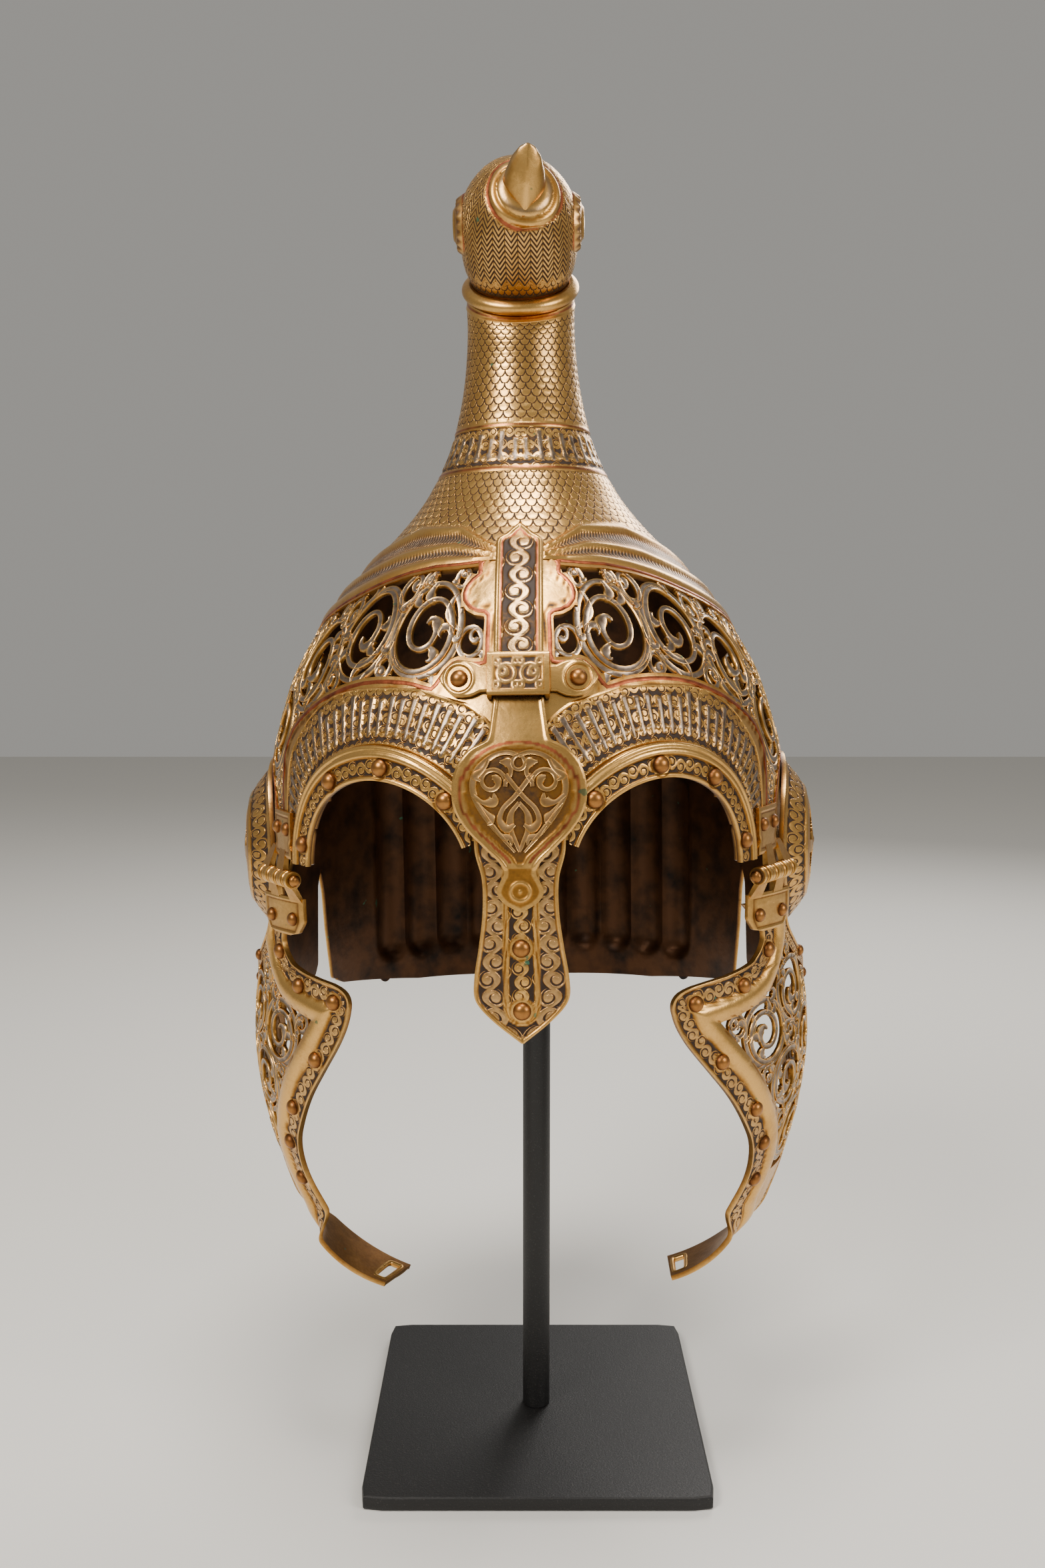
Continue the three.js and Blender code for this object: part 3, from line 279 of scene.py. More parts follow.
brass = aged_metal("aged_cast_brass", "#deae64", "#a06f31", "#2b1a0d", 0.25)
copper_rivet = aged_metal("worn_copper_rivet", "#ad7840", "#714727", "#1d110a", 0.3, 0.7, False)


def stone_black(name, rough):
    """Matt black powder coat with a fine pale speckle, about half a millimetre a grain."""
    material, tree, shader = blank_material(name)
    place = node(tree, "TexCoord").outputs["Object"]
    speckle = node(tree, "TexNoise", {"Vector": place, "Scale": 1400.0, "Detail": 2.0})
    amount = node(tree, "MapRange", {0: speckle.outputs["Fac"], 1: 0.6, 2: 0.75})
    colour = node(
        tree, "Mix", {0: amount.outputs[0], 6: linear("#0b0a0a"), 7: linear("#2f2c2a")}, data_type="RGBA")
    tree.links.new(colour.outputs[2], shader.inputs["Base Color"])
    shader.inputs["Roughness"].default_value = rough
    relief = node(tree, "Bump", {"Height": speckle.outputs["Fac"], "Strength": 0.3, "Distance": 0.0004})
    tree.links.new(relief.outputs[0], shader.inputs["Normal"])
    return material


stand_black = stone_black("black_powder_coat", 0.52)
BRASS = {"finish": brass, "slot": "brass"}
COPPER = {"finish": copper_rivet, "slot": "copper_brown_brass"}
BLACK = {"finish": stand_black, "slot": "black_steel"}


# Meshes
def turned_out(points, quads, triangles):
    """Faces in the order that points outward: the volume they enclose comes out above zero."""
    halves = np.concatenate([quads[:, [0, 1, 2]], quads[:, [0, 2, 3]], triangles])
    a, b, c = (points[halves[:, k]] - points[0] for k in range(3))
    if np.sum(a * np.cross(b, c)) < 0:
        return quads[:, ::-1], triangles[:, ::-1]
    return quads, triangles


def make_piece(name, points, quads, triangles, finish, slot, marks, body=ROOT, place=seated, sharp=48,
               hand=1, stands_for=()):
    """A mesh object from arrays of points, four-sided and three-sided faces, with marks per point.
    Hand -1 mirrors it to the other side."""
    used = np.zeros(len(points), bool)
    used[quads.ravel()] = True
    used[triangles.ravel()] = True
    new_index = np.cumsum(used) - 1
    points = points[used] * np.array([hand, 1, 1])
    quads, triangles = turned_out(points, new_index[quads], new_index[triangles])
    points = place(points)
    mesh = bpy.data.meshes.new(name)
    loops = np.concatenate([quads.ravel(), triangles.ravel()]).astype(np.int32)
    starts = np.concatenate([np.arange(len(quads)) * 4, len(quads) * 4 + np.arange(len(triangles)) * 3])
    totals = np.concatenate([np.full(len(quads), 4), np.full(len(triangles), 3)])
    mesh.vertices.add(len(points))
    mesh.vertices.foreach_set("co", points.astype(np.float32).ravel())
    mesh.loops.add(len(loops))
    mesh.loops.foreach_set("vertex_index", loops)
    mesh.polygons.add(len(totals))
    mesh.polygons.foreach_set("loop_start", starts.astype(np.int32))
    mesh.polygons.foreach_set("loop_total", totals.astype(np.int32))
    mesh.polygons.foreach_set("use_smooth", np.ones(len(totals), bool))
    mesh.update(calc_edges=True)
    mesh.validate()
    for key, value in marks.items():
        kind, field = ("FLOAT_VECTOR", "vector") if value.ndim == 2 else ("FLOAT", "value")
        layer = mesh.attributes.new(key, kind, "POINT")
        layer.data.foreach_set(field, value[used].astype(np.float32).ravel())
    mesh.set_sharp_from_angle(angle=math.radians(sharp))
    mesh.materials.append(finish)
    made = bpy.data.objects.new(name, mesh)
    bpy.context.scene.collection.objects.link(made)
    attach(made, body)
    if stands_for:
        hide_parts(*stands_for)


NO_TRIANGLES = np.zeros((0, 3), int)


def grid_quads(columns, rows, round_columns=False, round_rows=False):
    """Faces of a grid of points [column][row], optionally closed round."""
    i, j = np.meshgrid(
        np.arange(columns if round_columns else columns - 1),
        np.arange(rows if round_rows else rows - 1),
        indexing="ij",
    )
    at = lambda a, b: (a % columns) * rows + b % rows
    return np.stack([at(i, j), at(i + 1, j), at(i + 1, j + 1), at(i, j + 1)], -1)


def wall(name, outer, inner, marks, keep=None, round_columns=False, inside=1.0, **extra):
    """A closed wall: the outer grid, the inner grid turned round, and a rim along every open edge."""
    columns, rows = outer.shape[:2]
    quads = grid_quads(columns, rows, round_columns)
    quads = (quads if keep is None else quads[keep]).reshape(-1, 4)
    count = columns * rows
    sides = np.concatenate([quads[:, [k, (k + 1) % 4]] for k in range(4)])
    key = np.sort(sides, 1) @ np.array([count, 1])
    _, first, times = np.unique(key, return_index=True, return_counts=True)
    edge = sides[first[times == 1]]
    rim = np.stack([edge[:, 1], edge[:, 0], edge[:, 0] + count, edge[:, 1] + count], -1)
    faces = np.concatenate([quads, quads[:, ::-1] + count, rim])
    points = np.concatenate([outer.reshape(-1, 3), inner.reshape(-1, 3)])
    zero = np.zeros(count)
    # The inner side of the wall has tone 0.45 and, as much as inside gives, the dark painted shade of the
    # hollow
    both = {}
    for mark in ("tone", "silver", "copper"):
        front = np.broadcast_to(marks.get(mark, 0.0), (columns, rows)).ravel()
        both[mark] = np.concatenate([front, np.full(count, 0.45) if mark == "tone" else zero])
    both["inner"] = np.concatenate([zero, zero + inside])
    for mark in ("cells", "scroll"):
        if mark in marks:
            both[mark] = np.concatenate([marks[mark].reshape(-1, 3), np.zeros((count, 3))])
    make_piece(name, points, faces, NO_TRIANGLES, marks=both, **extra)


CHANNELS = {"tone": 0, "silver": 1, "copper": 2, "cells": slice(3, 6), "scroll": slice(6, 9)}


def marked(shape, tone=0.85, **others):
    """Marks of the given grid shape, nine numbers a point."""
    marks = np.zeros(tuple(shape) + (9,))
    for key, value in {"tone": tone, **others}.items():
        marks[..., CHANNELS[key]] = value
    return marks


class Strands:
    """Closed bodies gathered into one mesh."""

    def __init__(self):
        self.points, self.quads, self.triangles, self.marks, self.count = [], [], [], [], 0

    def add(self, points, quads, triangles, marks):
        """Gathers a closed body, with its faces turned outward."""
        quads, triangles = turned_out(points, quads, triangles)
        self.points.append(points)
        self.quads.append(quads + self.count)
        self.triangles.append(triangles + self.count)
        self.marks.append(marks)
        self.count += len(points)

    def add_rings(self, rings, marks):
        """A closed tube of rings [ring][side], with a point closing each end."""
        n, m = rings.shape[:2]
        j = np.arange(m)
        first = np.stack([np.full(m, n * m), j, (j + 1) % m], -1)
        end = (n - 1) * m
        last = np.stack([np.full(m, n * m + 1), end + (j + 1) % m, end + j], -1)
        self.add(
            np.concatenate([rings.reshape(-1, 3), [rings[0].mean(0), rings[-1].mean(0)]]),
            grid_quads(n, m, round_rows=True).reshape(-1, 4),
            np.concatenate([first, last]),
            np.concatenate([marks.reshape(-1, 9), [marks[0].mean(0), marks[-1].mean(0)]]))

    def add_loop(self, grid, marks):
        """A body closed round both ways, such as a ring."""
        quads = grid_quads(*grid.shape[:2], True, True).reshape(-1, 4)
        self.add(grid.reshape(-1, 3), quads, NO_TRIANGLES, marks.reshape(-1, 9))

    def add_dome(self, at, normal, radius, rise):
        """A rivet head: rings of radius R cos a at height H sin a, from a sunk foot to near the crown."""
        first = unit(np.cross(normal, [0.31, 0.2, 0.93]))
        second = np.cross(normal, first)
        a = np.radians([0, 0, 16, 34, 52, 68, 82])[:, None]
        around = np.linspace(0, TAU, 20, endpoint=False)
        flat = np.cos(around)[:, None] * first + np.sin(around)[:, None] * second
        height = rise * np.sin(a)
        height[0] = -0.7
        rings = at + radius * np.cos(a)[..., None] * flat + height[..., None] * normal
        shade = np.array([0.15, 0.3, 0.6, 0.8, 1, 1, 1])[:, None] * 0.85
        self.add_rings(rings, marked(rings.shape[:2], tone=shade))

    def piece(self, name, **extra):
        """One mesh object of all that was gathered."""
        marks = np.concatenate(self.marks)
        named = {key: marks[:, channel] for key, channel in CHANNELS.items()}
        make_piece(
            name, np.concatenate(self.points), np.concatenate(self.quads), np.concatenate(self.triangles),
            marks=named, **extra)


# Section of a vine: across and height as shares of half width and depth, then tone and silver
VINE_SECTION = np.array([
    [-0.8, -1, 0.2, 0], [-1.0, 0.1, 0.6, 0], [-0.78, 0.52, 1.0, 0.05], [-0.42, 0.34, 0.75, 0.9],
    [0.42, 0.34, 0.75, 0.9], [0.78, 0.52, 1.0, 0.05], [1.0, 0.1, 0.6, 0], [0.8, -1, 0.2, 0],
])
# Section of a flush inlaid line, copper all over
LINE_SECTION = np.array([
    [-1, -0.6, 0.4, 0], [-1, 0.2, 0.5, 0], [-0.6, 0.45, 0.6, 0],
    [0.6, 0.45, 0.6, 0], [1, 0.2, 0.5, 0], [1, -0.6, 0.4, 0],
])


def normal_of(place, x, y):
    """The way a sheet faces at its own coordinates x and y."""
    return unit(place(x, y, 1.0 + 0 * x) - place(x, y, 0 * x))


def lay(strands, place, path, half, depth, off, section=VINE_SECTION, copper=0.0, silver=1.0, allowed=None):
    """A section carried along a drawn path on a sheet: across x half width and height x depth.
    What runs past the allowed area is cut off there."""
    half = np.broadcast_to(half, len(path))
    if allowed is not None:
        within = allowed(path[:, 0], path[:, 1])
        stop = len(path) if within.all() else int(np.argmin(within))
        path, half = path[:stop], half[:stop]
    if len(path) < 4:
        return
    normals = normal_of(place, path[:, 0], path[:, 1])
    points = place(path[:, 0], path[:, 1], np.full(len(path), off))
    side = unit(np.cross(unit(np.gradient(points, axis=0)), normals))
    rings = (points[:, None] + side[:, None] * section[None, :, :1] * half[:, None, None]
             + normals[:, None] * section[None, :, 1:2] * depth)
    strands.add_rings(rings, marked(
        rings.shape[:2], tone=section[:, 2], silver=section[:, 3] * silver, copper=copper))


# Relief patterns, as heights from 0 to 1
def running_scroll(x, y):
    """The vine of the running scroll, by the same curves as the ground in the material: x in waves of its
    stem and y in rows. 1 on the vine and 0 on the ground."""
    row = np.round(y)
    height, along = y - row, x + 0.37 * row
    stem = np.abs(height - 0.3 * np.sin(TAU * along)) / np.hypot(1, 1.3 * np.cos(TAU * along))
    way = 1 - 2 * (np.floor(2 * along) % 2)
    across = 0.725 * ((2 * along) % 1) - 0.3625
    lift = height * way + 0.12
    radius = np.hypot(across, lift)
    curl = 0.232 * np.abs((4.3 * radius - np.arctan2(lift, across) / TAU + 0.5) % 1 - 0.5)
    near = np.minimum(np.minimum(stem, np.maximum(curl, radius - 0.3)), radius - 0.07)
    return smooth(-near, -0.12, -0.05)


def lancets(x, y, tall, pitch):
    """Uprights of uneven height that widen upward, tied by scalloped bows near their feet and by a small
    arch between every second pair. Returns the relief, the gold outline and the silver face."""
    index = np.floor(x / pitch)
    chance = np.abs(np.sin(index * 12.9898) * 43758.5453) % 1
    centre = (index + 0.5 + 0.16 * (chance - 0.5)) * pitch
    upright = np.abs(x - centre) - 0.17 * pitch - 0.1 * pitch * (y / tall) ** 2
    upright = np.max([upright, y - tall * (0.74 + 0.22 * chance), 0.1 * tall - y], axis=0)
    foot_x = np.round(x / pitch) * pitch
    bow = np.abs(np.hypot(x - foot_x, y - 0.32 * tall) - 0.42 * pitch) - 0.1 * pitch
    bow = np.where(y < 0.33 * tall, bow, 9.0)
    link = np.abs(np.hypot(x - foot_x, (y - 0.6 * tall) * 1.3) - 0.3 * pitch) - 0.08 * pitch
    link = np.where((y > 0.6 * tall) & (np.round(x / pitch) % 2 == 0), link, 9.0)
    shape = np.min([upright, bow, link], axis=0)
    return smooth(-shape, -0.3, 0.15), bump(shape, -0.05, 0.42), smooth(-shape, 0.05, 0.35)


def scales(u, v):
    """Relief of scales that overlap, 1 wide in rows 1 high: each rises to the tip that laps the next row."""
    row = np.floor(v)
    up = row + 1 - v
    across = (u + 0.5 * (row % 2)) % 1 - 0.5
    oval = np.hypot(2 * across, up)
    return np.where(oval < 1, 1 - 0.45 * up, 0.9 - 0.5 * up) * smooth(np.abs(oval - 1), 0, 0.1)


# Drawn curves, in millimetres on a flat sheet
def sweep(start, heading, length, bend, tighten):
    """A path whose heading turns by bend in all, faster toward its end when tighten is above 1."""
    count = 12
    t = np.linspace(0, 1, count)
    angle = np.radians(heading + bend * t ** tighten)
    mid = 0.5 * (angle[1:] + angle[:-1])
    moves = np.stack([np.cos(mid), np.sin(mid)], -1) * length / (count - 1)
    return np.array(start) + np.concatenate([np.zeros((1, 2)), np.cumsum(moves, 0)])


def spiral(centre, first, last, angle, turns, step=2.2):
    """Radius runs evenly from first to last while the angle runs through the turns."""
    t = np.linspace(0, 1, max(int(np.pi * abs(turns) * (first + last) / step), 14))
    radius = first + (last - first) * t
    a = np.radians(angle) + TAU * turns * t
    return np.array(centre) + radius[:, None] * np.stack([np.cos(a), np.sin(a)], -1)


def through(points):
    """A smooth path through drawn points."""
    drawn = np.array(points, float)
    knots = np.arange(len(drawn), dtype=float)
    at = np.linspace(0, len(drawn) - 1, 30)
    return np.stack([between(knots, drawn[:, 0], at), between(knots, drawn[:, 1], at)], -1)


def swollen(path, base, swell, at=0.5, tip=0.3):
    """Half widths of a leaf along a path: a base width, a swelling at one place, and a narrow tip."""
    t = np.linspace(0, 1, len(path))
    return (base + swell * np.exp(-((t - at) / 0.18) ** 2)) * (1 - (1 - tip) * smooth(t, 0.84, 1.0))


def leaf(path, share, turned, reach, curl, thick):
    """A leaf that springs from a path at a share of its length, turned off its course, and curls over."""
    k = int(share * (len(path) - 2))
    course = np.degrees(np.arctan2(*(path[k + 1] - path[k])[::-1]))
    drawn = sweep(path[k], course + turned, reach, curl, 1.7)
    return drawn, swollen(drawn, thick * 0.72, thick * 0.85, 0.5)


def scroll(radius, hand, angle, thick):
    """One scroll of the vine about 0: a ring, a stem that winds in to a split leaf, leaves off that stem
    and off the ring. A small one is a ring with a bud and two leaves."""
    ring = spiral((0, 0), radius, radius, angle, 1.03 * hand)
    strokes = [(ring, np.full(len(ring), thick))]
    if radius < 6.2:
        bud = sweep(ring[0], angle + 118 * hand, radius * 1.7, 250 * hand, 1.2)
        strokes.append((bud, swollen(bud, thick * 0.75, thick * 0.6, 0.85, 0.8)))
        shares = (0.3, 0.75)
    else:
        stem = spiral((0, 0), radius, radius * 0.34, angle, 1.4 * hand)
        strokes.append((stem, np.linspace(thick, thick * 0.85, len(stem))))
        strokes.append(leaf(stem, 1.0, 0, radius * 0.8, 190 * hand, thick * 1.15))
        strokes.append(leaf(stem, 0.97, -50 * hand, radius * 0.55, -200 * hand, thick))
        strokes.append(leaf(stem, 0.62, -35 * hand, radius * 0.5, -170 * hand, thick))
        strokes.append(leaf(stem, 0.36, 30 * hand, radius * 0.55, 190 * hand, thick))
        strokes.append(leaf(ring, 0.5, 62 * hand, radius * 1.05, -120 * hand, thick))
        strokes.append(leaf(ring, 0.78, 40 * hand, radius * 0.6, 170 * hand, thick))
        shares = (0.05, 0.3, 0.55, 0.8)
    for share in shares:
        strokes.append(leaf(ring, share, -24 * hand, min(radius * 0.8, 8.5), -210 * hand, thick))
    return strokes


def fitted_circles(room, x, y, largest, smallest, gap):
    """Circles that fill an opening: each is the largest that fits between the edge and those before it, up
    to a limit, and of equals the foremost. Ends where none above the smallest size is left to fit."""
    left = room(x, y)
    circles = []
    while left.max() > smallest:
        size = np.minimum(left, largest)
        best = np.argmax(size - 0.004 * x)
        circles.append((x[best], y[best], size[best]))
        left = np.minimum(left, np.hypot(x - x[best], y - y[best]) - size[best] - gap)
    return circles


def add_vine_work(strands, place, room, x, y, largest, thick):
    """Scrolls in the circles that fill an opening, which meet each other and the frame."""
    smallest, gap = 3.1, 0.6
    for i, (cx, cy, size) in enumerate(fitted_circles(room, x, y, largest, smallest, gap)):
        way = 1 if i % 2 else -1
        for k, (path, half) in enumerate(scroll(size, way, 40.0 * i, thick if size > 6 else thick * 0.85)):
            lay(strands, place, path + np.array([cx, cy]), half, 1.15, -0.62 + 0.1 * (k % 3),
                allowed=lambda u, v: room(u, v) > -1.3)


# Bowl: share of the rise above the base line, and half width in the bowl's half widths
LEVELS = np.array([
    (-0.25, 1), (0, 0.993), (0.095, 0.968), (0.198, 0.937), (0.293, 0.899), (0.397, 0.84), (0.5, 0.772),
    (0.595, 0.694), (0.698, 0.59), (0.802, 0.484), (0.905, 0.396), (1, 0.335),
])
# Eye arch: turn of its middle, half width in turn, height where it springs, and rise
ARCH_TURN, ARCH_HALF, ARCH_SPRING, ARCH_RISE = 29.0, 19.7, 276.0, 37.0
EAR_TURN, EAR_LEVEL = 90.0, 273.6


def between(x, y, at):
    """A smooth curve through points: cubic pieces whose slope at a point joins its neighbours."""
    last = len(x) - 1
    up = np.minimum(np.arange(last + 1) + 1, last)
    down = np.maximum(np.arange(last + 1) - 1, 0)
    slope = (y[up] - y[down]) / (x[up] - x[down])
    i = np.clip(np.searchsorted(x, at) - 1, 0, last - 1)
    step = x[i + 1] - x[i]
    s = np.clip((at - x[i]) / step, 0, 1)
    return ((2 * s ** 3 - 3 * s ** 2 + 1) * y[i] + (3 * s ** 2 - 2 * s ** 3) * y[i + 1]
            + (s ** 3 - 2 * s ** 2 + s) * step * slope[i] + (s ** 3 - s ** 2) * step * slope[i + 1])


def bowl_half(z):
    """Half width of the bowl at a height."""
    return HALF_WIDTH * between(LEVELS[:, 0], LEVELS[:, 1], np.maximum((z - BASE) / RISE, LEVELS[0, 0]))


def bowl_skin(turn, z):
    """An ellipse at each height: half width from the level table, and longer front to back lower down."""
    half = bowl_half(z)
    neck = HALF_WIDTH * LEVELS[-1, 1]
    long = half * (1 + (HALF_LENGTH / HALF_WIDTH - 1) * (half - neck) / (HALF_WIDTH - neck))
    a = np.radians(turn)
    return np.stack([half * np.sin(a), -long * np.cos(a), z + 0 * a], -1)


def bowl_normal(turn, z):
    """The way the bowl faces, across two short chords of its skin."""
    across = bowl_skin(turn + 0.5, z) - bowl_skin(turn - 0.5, z)
    upward = bowl_skin(turn, z + 0.5) - bowl_skin(turn, z - 0.5)
    return unit(np.cross(across, upward))


def on_bowl(turn, z, off):
    """A place off the bowl's skin by that many millimetres."""
    return bowl_skin(turn, z) + bowl_normal(turn, z) * np.asarray(off)[..., None]


def flute_swell(turn, z):
    """Tail-feather flutes round the back: |sine| lobes that fade in downward and end in rounded tips."""
    side = np.abs(np.where(turn > 180, 360 - turn, turn))
    lobe = np.abs(np.sin(np.pi * (side - 133) / 9.4)) ** 0.75
    tip = 199 + 5 * (1 - lobe)
    fade_in = smooth(350 - z, 0, 75)
    return np.where(side < 133, 0, 4.5 * lobe * fade_in * smooth(z, tip, tip + 5))


# Millimetres round the bowl for a degree of turn, in drawings laid flat
MM_PER_TURN = 2.06
# Outline of the pierced panel of one side: turn from the front and height
PANEL = np.array([
    (11, 393.4), (19, 392.4), (27.5, 391.9), (36, 390), (44.6, 387), (53, 383), (62.7, 378.6), (71, 374.7),
    (80, 371), (90, 366), (104, 359), (114, 354), (118, 350), (119.5, 343), (119.5, 316), (117, 309),
    (110, 307), (104, 313.5), (97, 317.5), (90, 318.5), (83, 317.5), (76, 313.5), (70.5, 306), (67.5, 297),
    (66, 286), (63.6, 284.5), (62.9, 291), (62.7, 300), (62.5, 309), (62.1, 317), (61.3, 324.5), (60, 330.5),
    (57.5, 334.6), (54.3, 338.4), (48.4, 343.9), (43, 347.4), (40, 349), (36, 350.4), (32, 351), (29, 351.1),
    (25, 350.7), (22.4, 350), (18.6, 348.2), (17.6, 351), (16.4, 354.5), (14.8, 357.4), (13.2, 358.4),
    (11, 357.6), (7.8, 357.6), (8.1, 365), (8.3, 373.2), (10.8, 373.8), (13, 375.4), (14.9, 378.4),
    (15.7, 382), (15.4, 386), (14, 389.4), (12.2, 391.8),
])
# What is below the bowl's edge: under the arch, then down the ear plate and up into the slit behind it
ARCH_SWEEP = np.radians(np.linspace(158, 0, 40))
LOWER_VOID = np.concatenate([
    [(-9, 60), (-9, 291)], [(9.2, 291)],
    np.stack([ARCH_TURN + (ARCH_HALF + 0.5) * np.cos(ARCH_SWEEP),
              ARCH_SPRING + (ARCH_RISE + 1) * np.sin(ARCH_SWEEP)], -1),
    [(67.5, 276), (68.7, 225.6), (72, 206), (76, 204), (107.5, 204), (109, 209), (110, 247), (111.5, 255),
     (113, 243), (114, 223.5), (116, 198.5), (120, 194.5), (150, 186), (150, 60)],
])


def inside(x, y, outline):
    """Distance to a closed outline, above 0 within: the nearest side, signed by an odd count of crossings."""
    nearest = np.full(x.shape, 1e9)
    within = np.zeros(x.shape, bool)
    for (ax, ay), (bx, by) in zip(outline, np.roll(outline, -1, 0)):
        ex, ey = bx - ax, by - ay
        t = np.clip(((x - ax) * ex + (y - ay) * ey) / max(ex * ex + ey * ey, 1e-9), 0, 1)
        nearest = np.minimum(nearest, np.hypot(x - ax - t * ex, y - ay - t * ey))
        if ay != by:
            within ^= ((ay > y) != (by > y)) & (x < ax + ex * (y - ay) / ey)
    return np.where(within, nearest, -nearest)


def trimmed(x, y, opening, reach):
    """Grid points near an opening's edge are drawn onto it, and faces within it are dropped."""
    far = opening(x, y)
    step = 0.05
    gx = (opening(x + step, y) - far) / step
    gy = (opening(x, y + step) - far) / step
    size = np.maximum(np.hypot(gx, gy), 1e-6)
    near = np.abs(far) < reach
    x = np.where(near, x - far * gx / size ** 2, x)
    y = np.where(near, y - far * gy / size ** 2, y)
    middle = lambda a: 0.25 * (a[1:, 1:] + a[:-1, 1:] + a[1:, :-1] + a[:-1, :-1])
    return x, y, opening(middle(x), middle(y)) < 0


def scaled(outline):
    """An outline in turns and heights as millimetres laid flat."""
    return outline * np.array([MM_PER_TURN, 1])


def bowl_opening(x, y):
    """Openings of the bowl's front and sides: panel, arches and what is below the edge, and ear hole."""
    side = np.abs(x)
    ear = 17 - np.hypot(side - EAR_TURN * MM_PER_TURN, y - EAR_LEVEL)
    return np.max([inside(side, y, scaled(PANEL)), inside(side, y, scaled(LOWER_VOID)), ear], axis=0)


# The wings' lowest ridge: turn from the front and height
WING = np.array([
    (0, 396.5), (11, 395.6), (19, 395), (27.5, 394.4), (36, 392.6), (44.6, 389.6), (53, 385.6), (62.7, 381.2),
    (71, 377.3), (80, 373.6), (90, 368.6), (104, 361.6), (118, 354.6), (140, 349.5), (180, 348),
])


def wing_line(turn):
    """Height of the wings' lowest ridge at a turn."""
    side = np.abs(np.where(np.abs(turn) > 180, 360 - np.abs(turn), turn))
    return np.interp(side, *WING.T)


def arch_point(angle, margin):
    """Point of an eye arch grown outward by a margin, as turn and height."""
    a = np.radians(angle)
    turn = ARCH_TURN + (ARCH_HALF + margin / np.radians(HALF_LENGTH)) * np.cos(a)
    return turn, ARCH_SPRING + (ARCH_RISE + margin) * np.sin(a)


def front_of(x, z, off):
    """A place on the front of the bowl by its distance from the middle line."""
    return on_bowl(np.degrees(np.arcsin(x / bowl_half(z))), z, off)


def unrolled(x, z, off):
    """The bowl by distance round it from the front, as drawn flat."""
    return on_bowl(x / MM_PER_TURN, z, off)


def grid_of(first, second):
    """Two rows of values as a grid [first][second]."""
    return np.meshgrid(first, second, indexing="ij")


def add_bowl():
    """The bowl up to the wings: front and sides trimmed to their openings, and the fluted back."""
    turn, share = grid_of(np.linspace(-121, 121, 300), np.linspace(0, 1, 112))
    low = 192.0
    z = low + (wing_line(turn) - low) * share
    x, z, keep = trimmed(turn * MM_PER_TURN, z, bowl_opening, 0.95)
    turn = x / MM_PER_TURN
    panel = inside(np.abs(x), z, scaled(PANEL))
    # A raised frame lies round the pierced panel, with a groove under its copper line
    height = 0.5 * smooth(-panel, 4.2, 3.6) - 0.35 * bump(-panel, 2.0, 1.2)
    tone = 0.86 - 0.75 * bump(-panel, 4.3, 0.9) - 0.3 * smooth(-panel, 0.7, 0.0)
    wall("bowl_front", on_bowl(turn, z, height), on_bowl(turn, z, -WALL), {"tone": tone}, keep,
         stands_for=["bowl"], **BRASS)

    turn, share = grid_of(np.linspace(119.5, 240.5, 150), np.linspace(0, 1, 60))
    side = np.where(turn > 180, 360 - turn, turn)
    low = np.interp(side, [114, 120, 146, 180], [220, 194.5, 186.8, 183.5])
    z = low + (wing_line(turn) - low) * share
    swell = flute_swell(turn, z)
    tone = 0.6 + 0.3 * np.clip(swell / 4.5, 0, 1) + 0.2 * smooth(z, 203, 196)
    rim = 0.9 * bump(z - low, 0.9, 1.4)
    wall("bowl_back", on_bowl(turn, z, swell + rim), on_bowl(turn, z, swell - WALL), {"tone": tone}, **BRASS)
    rivets = Strands()
    for spot in (136.0, 158.0, 180.0, 202.0, 224.0):
        place = np.array([spot]), np.array([(183.5 + 199) / 2])
        rivets.add_dome(on_bowl(*place, [0.0])[0], bowl_normal(*place)[0], 3.3, 2.4)
    rivets.piece("neck_guard_rivets", **COPPER)


def add_crown():
    """The part above the wings' lower ridge: three ridges sweep back with feathers between, and scales
    above."""
    turn, share = grid_of(np.linspace(-180, 180, 370, endpoint=False), np.linspace(0, 1, 48))
    low = wing_line(turn)
    z = low + (NECK_JOINT - low) * share
    side = np.abs(turn)
    # Upper edge of the feathered wing, falling toward the back
    top = np.interp(side, [0, 7, 24.6, 48, 74, 100, 140, 180], [400, 400.5, 411, 412.5, 405, 393, 378, 372])
    depth = np.clip((z - low) / (top - low), 0, 1)
    wing = smooth(top - z, -0.4, 0.4)
    ridge = np.clip(bump(depth, 0.1, 0.15) + bump(depth, 0.45, 0.13) + bump(depth, 0.9, 0.13), 0, 1)
    zone = np.clip(bump(depth, 0.28, 0.12) + bump(depth, 0.67, 0.17), 0, 1) * smooth(side, 9, 22)
    on_scales = (1 - wing) * smooth(z - top, 0.4, 1.4)
    # 66 scales round, and in each hollow between two ridges a quill with its barbs 1.3 degrees apart
    column, row = side * 66 / 360, (z - 380) / 3.0
    cells = np.where(
        (z > top)[..., None],
        np.stack([column, row, on_scales], -1),
        np.stack([depth / 0.39 - 0.218, side / 1.3, -wing * np.clip(1.5 * zone, 0, 1)], -1))
    height = wing * (1.3 * ridge ** 0.8 + 0.2 * zone) + 0.22 * on_scales * scales(column, row)
    tone = wing * (0.66 + 0.26 * ridge - 0.12 * zone) + (1 - wing) * 0.92
    wall("bowl_crown", on_bowl(turn, z, height), on_bowl(turn, z, -WALL),
         {"tone": tone, "silver": 0.6 * wing * zone, "cells": cells}, round_columns=True, **BRASS)


def resampled(path, step):
    """Points evenly spaced along a closed path."""
    closed = np.vstack([path, path[:1]])
    run = np.concatenate([[0], np.cumsum(np.linalg.norm(np.diff(closed, axis=0), axis=1))])
    at = np.linspace(0, run[-1], max(int(run[-1] / step), 8))
    return np.stack([np.interp(at, run, closed[:, k]) for k in (0, 1)], -1)


def panel_room(x, z):
    """Room in the pierced panel: above 0 inside it."""
    return inside(x, z, scaled(PANEL))


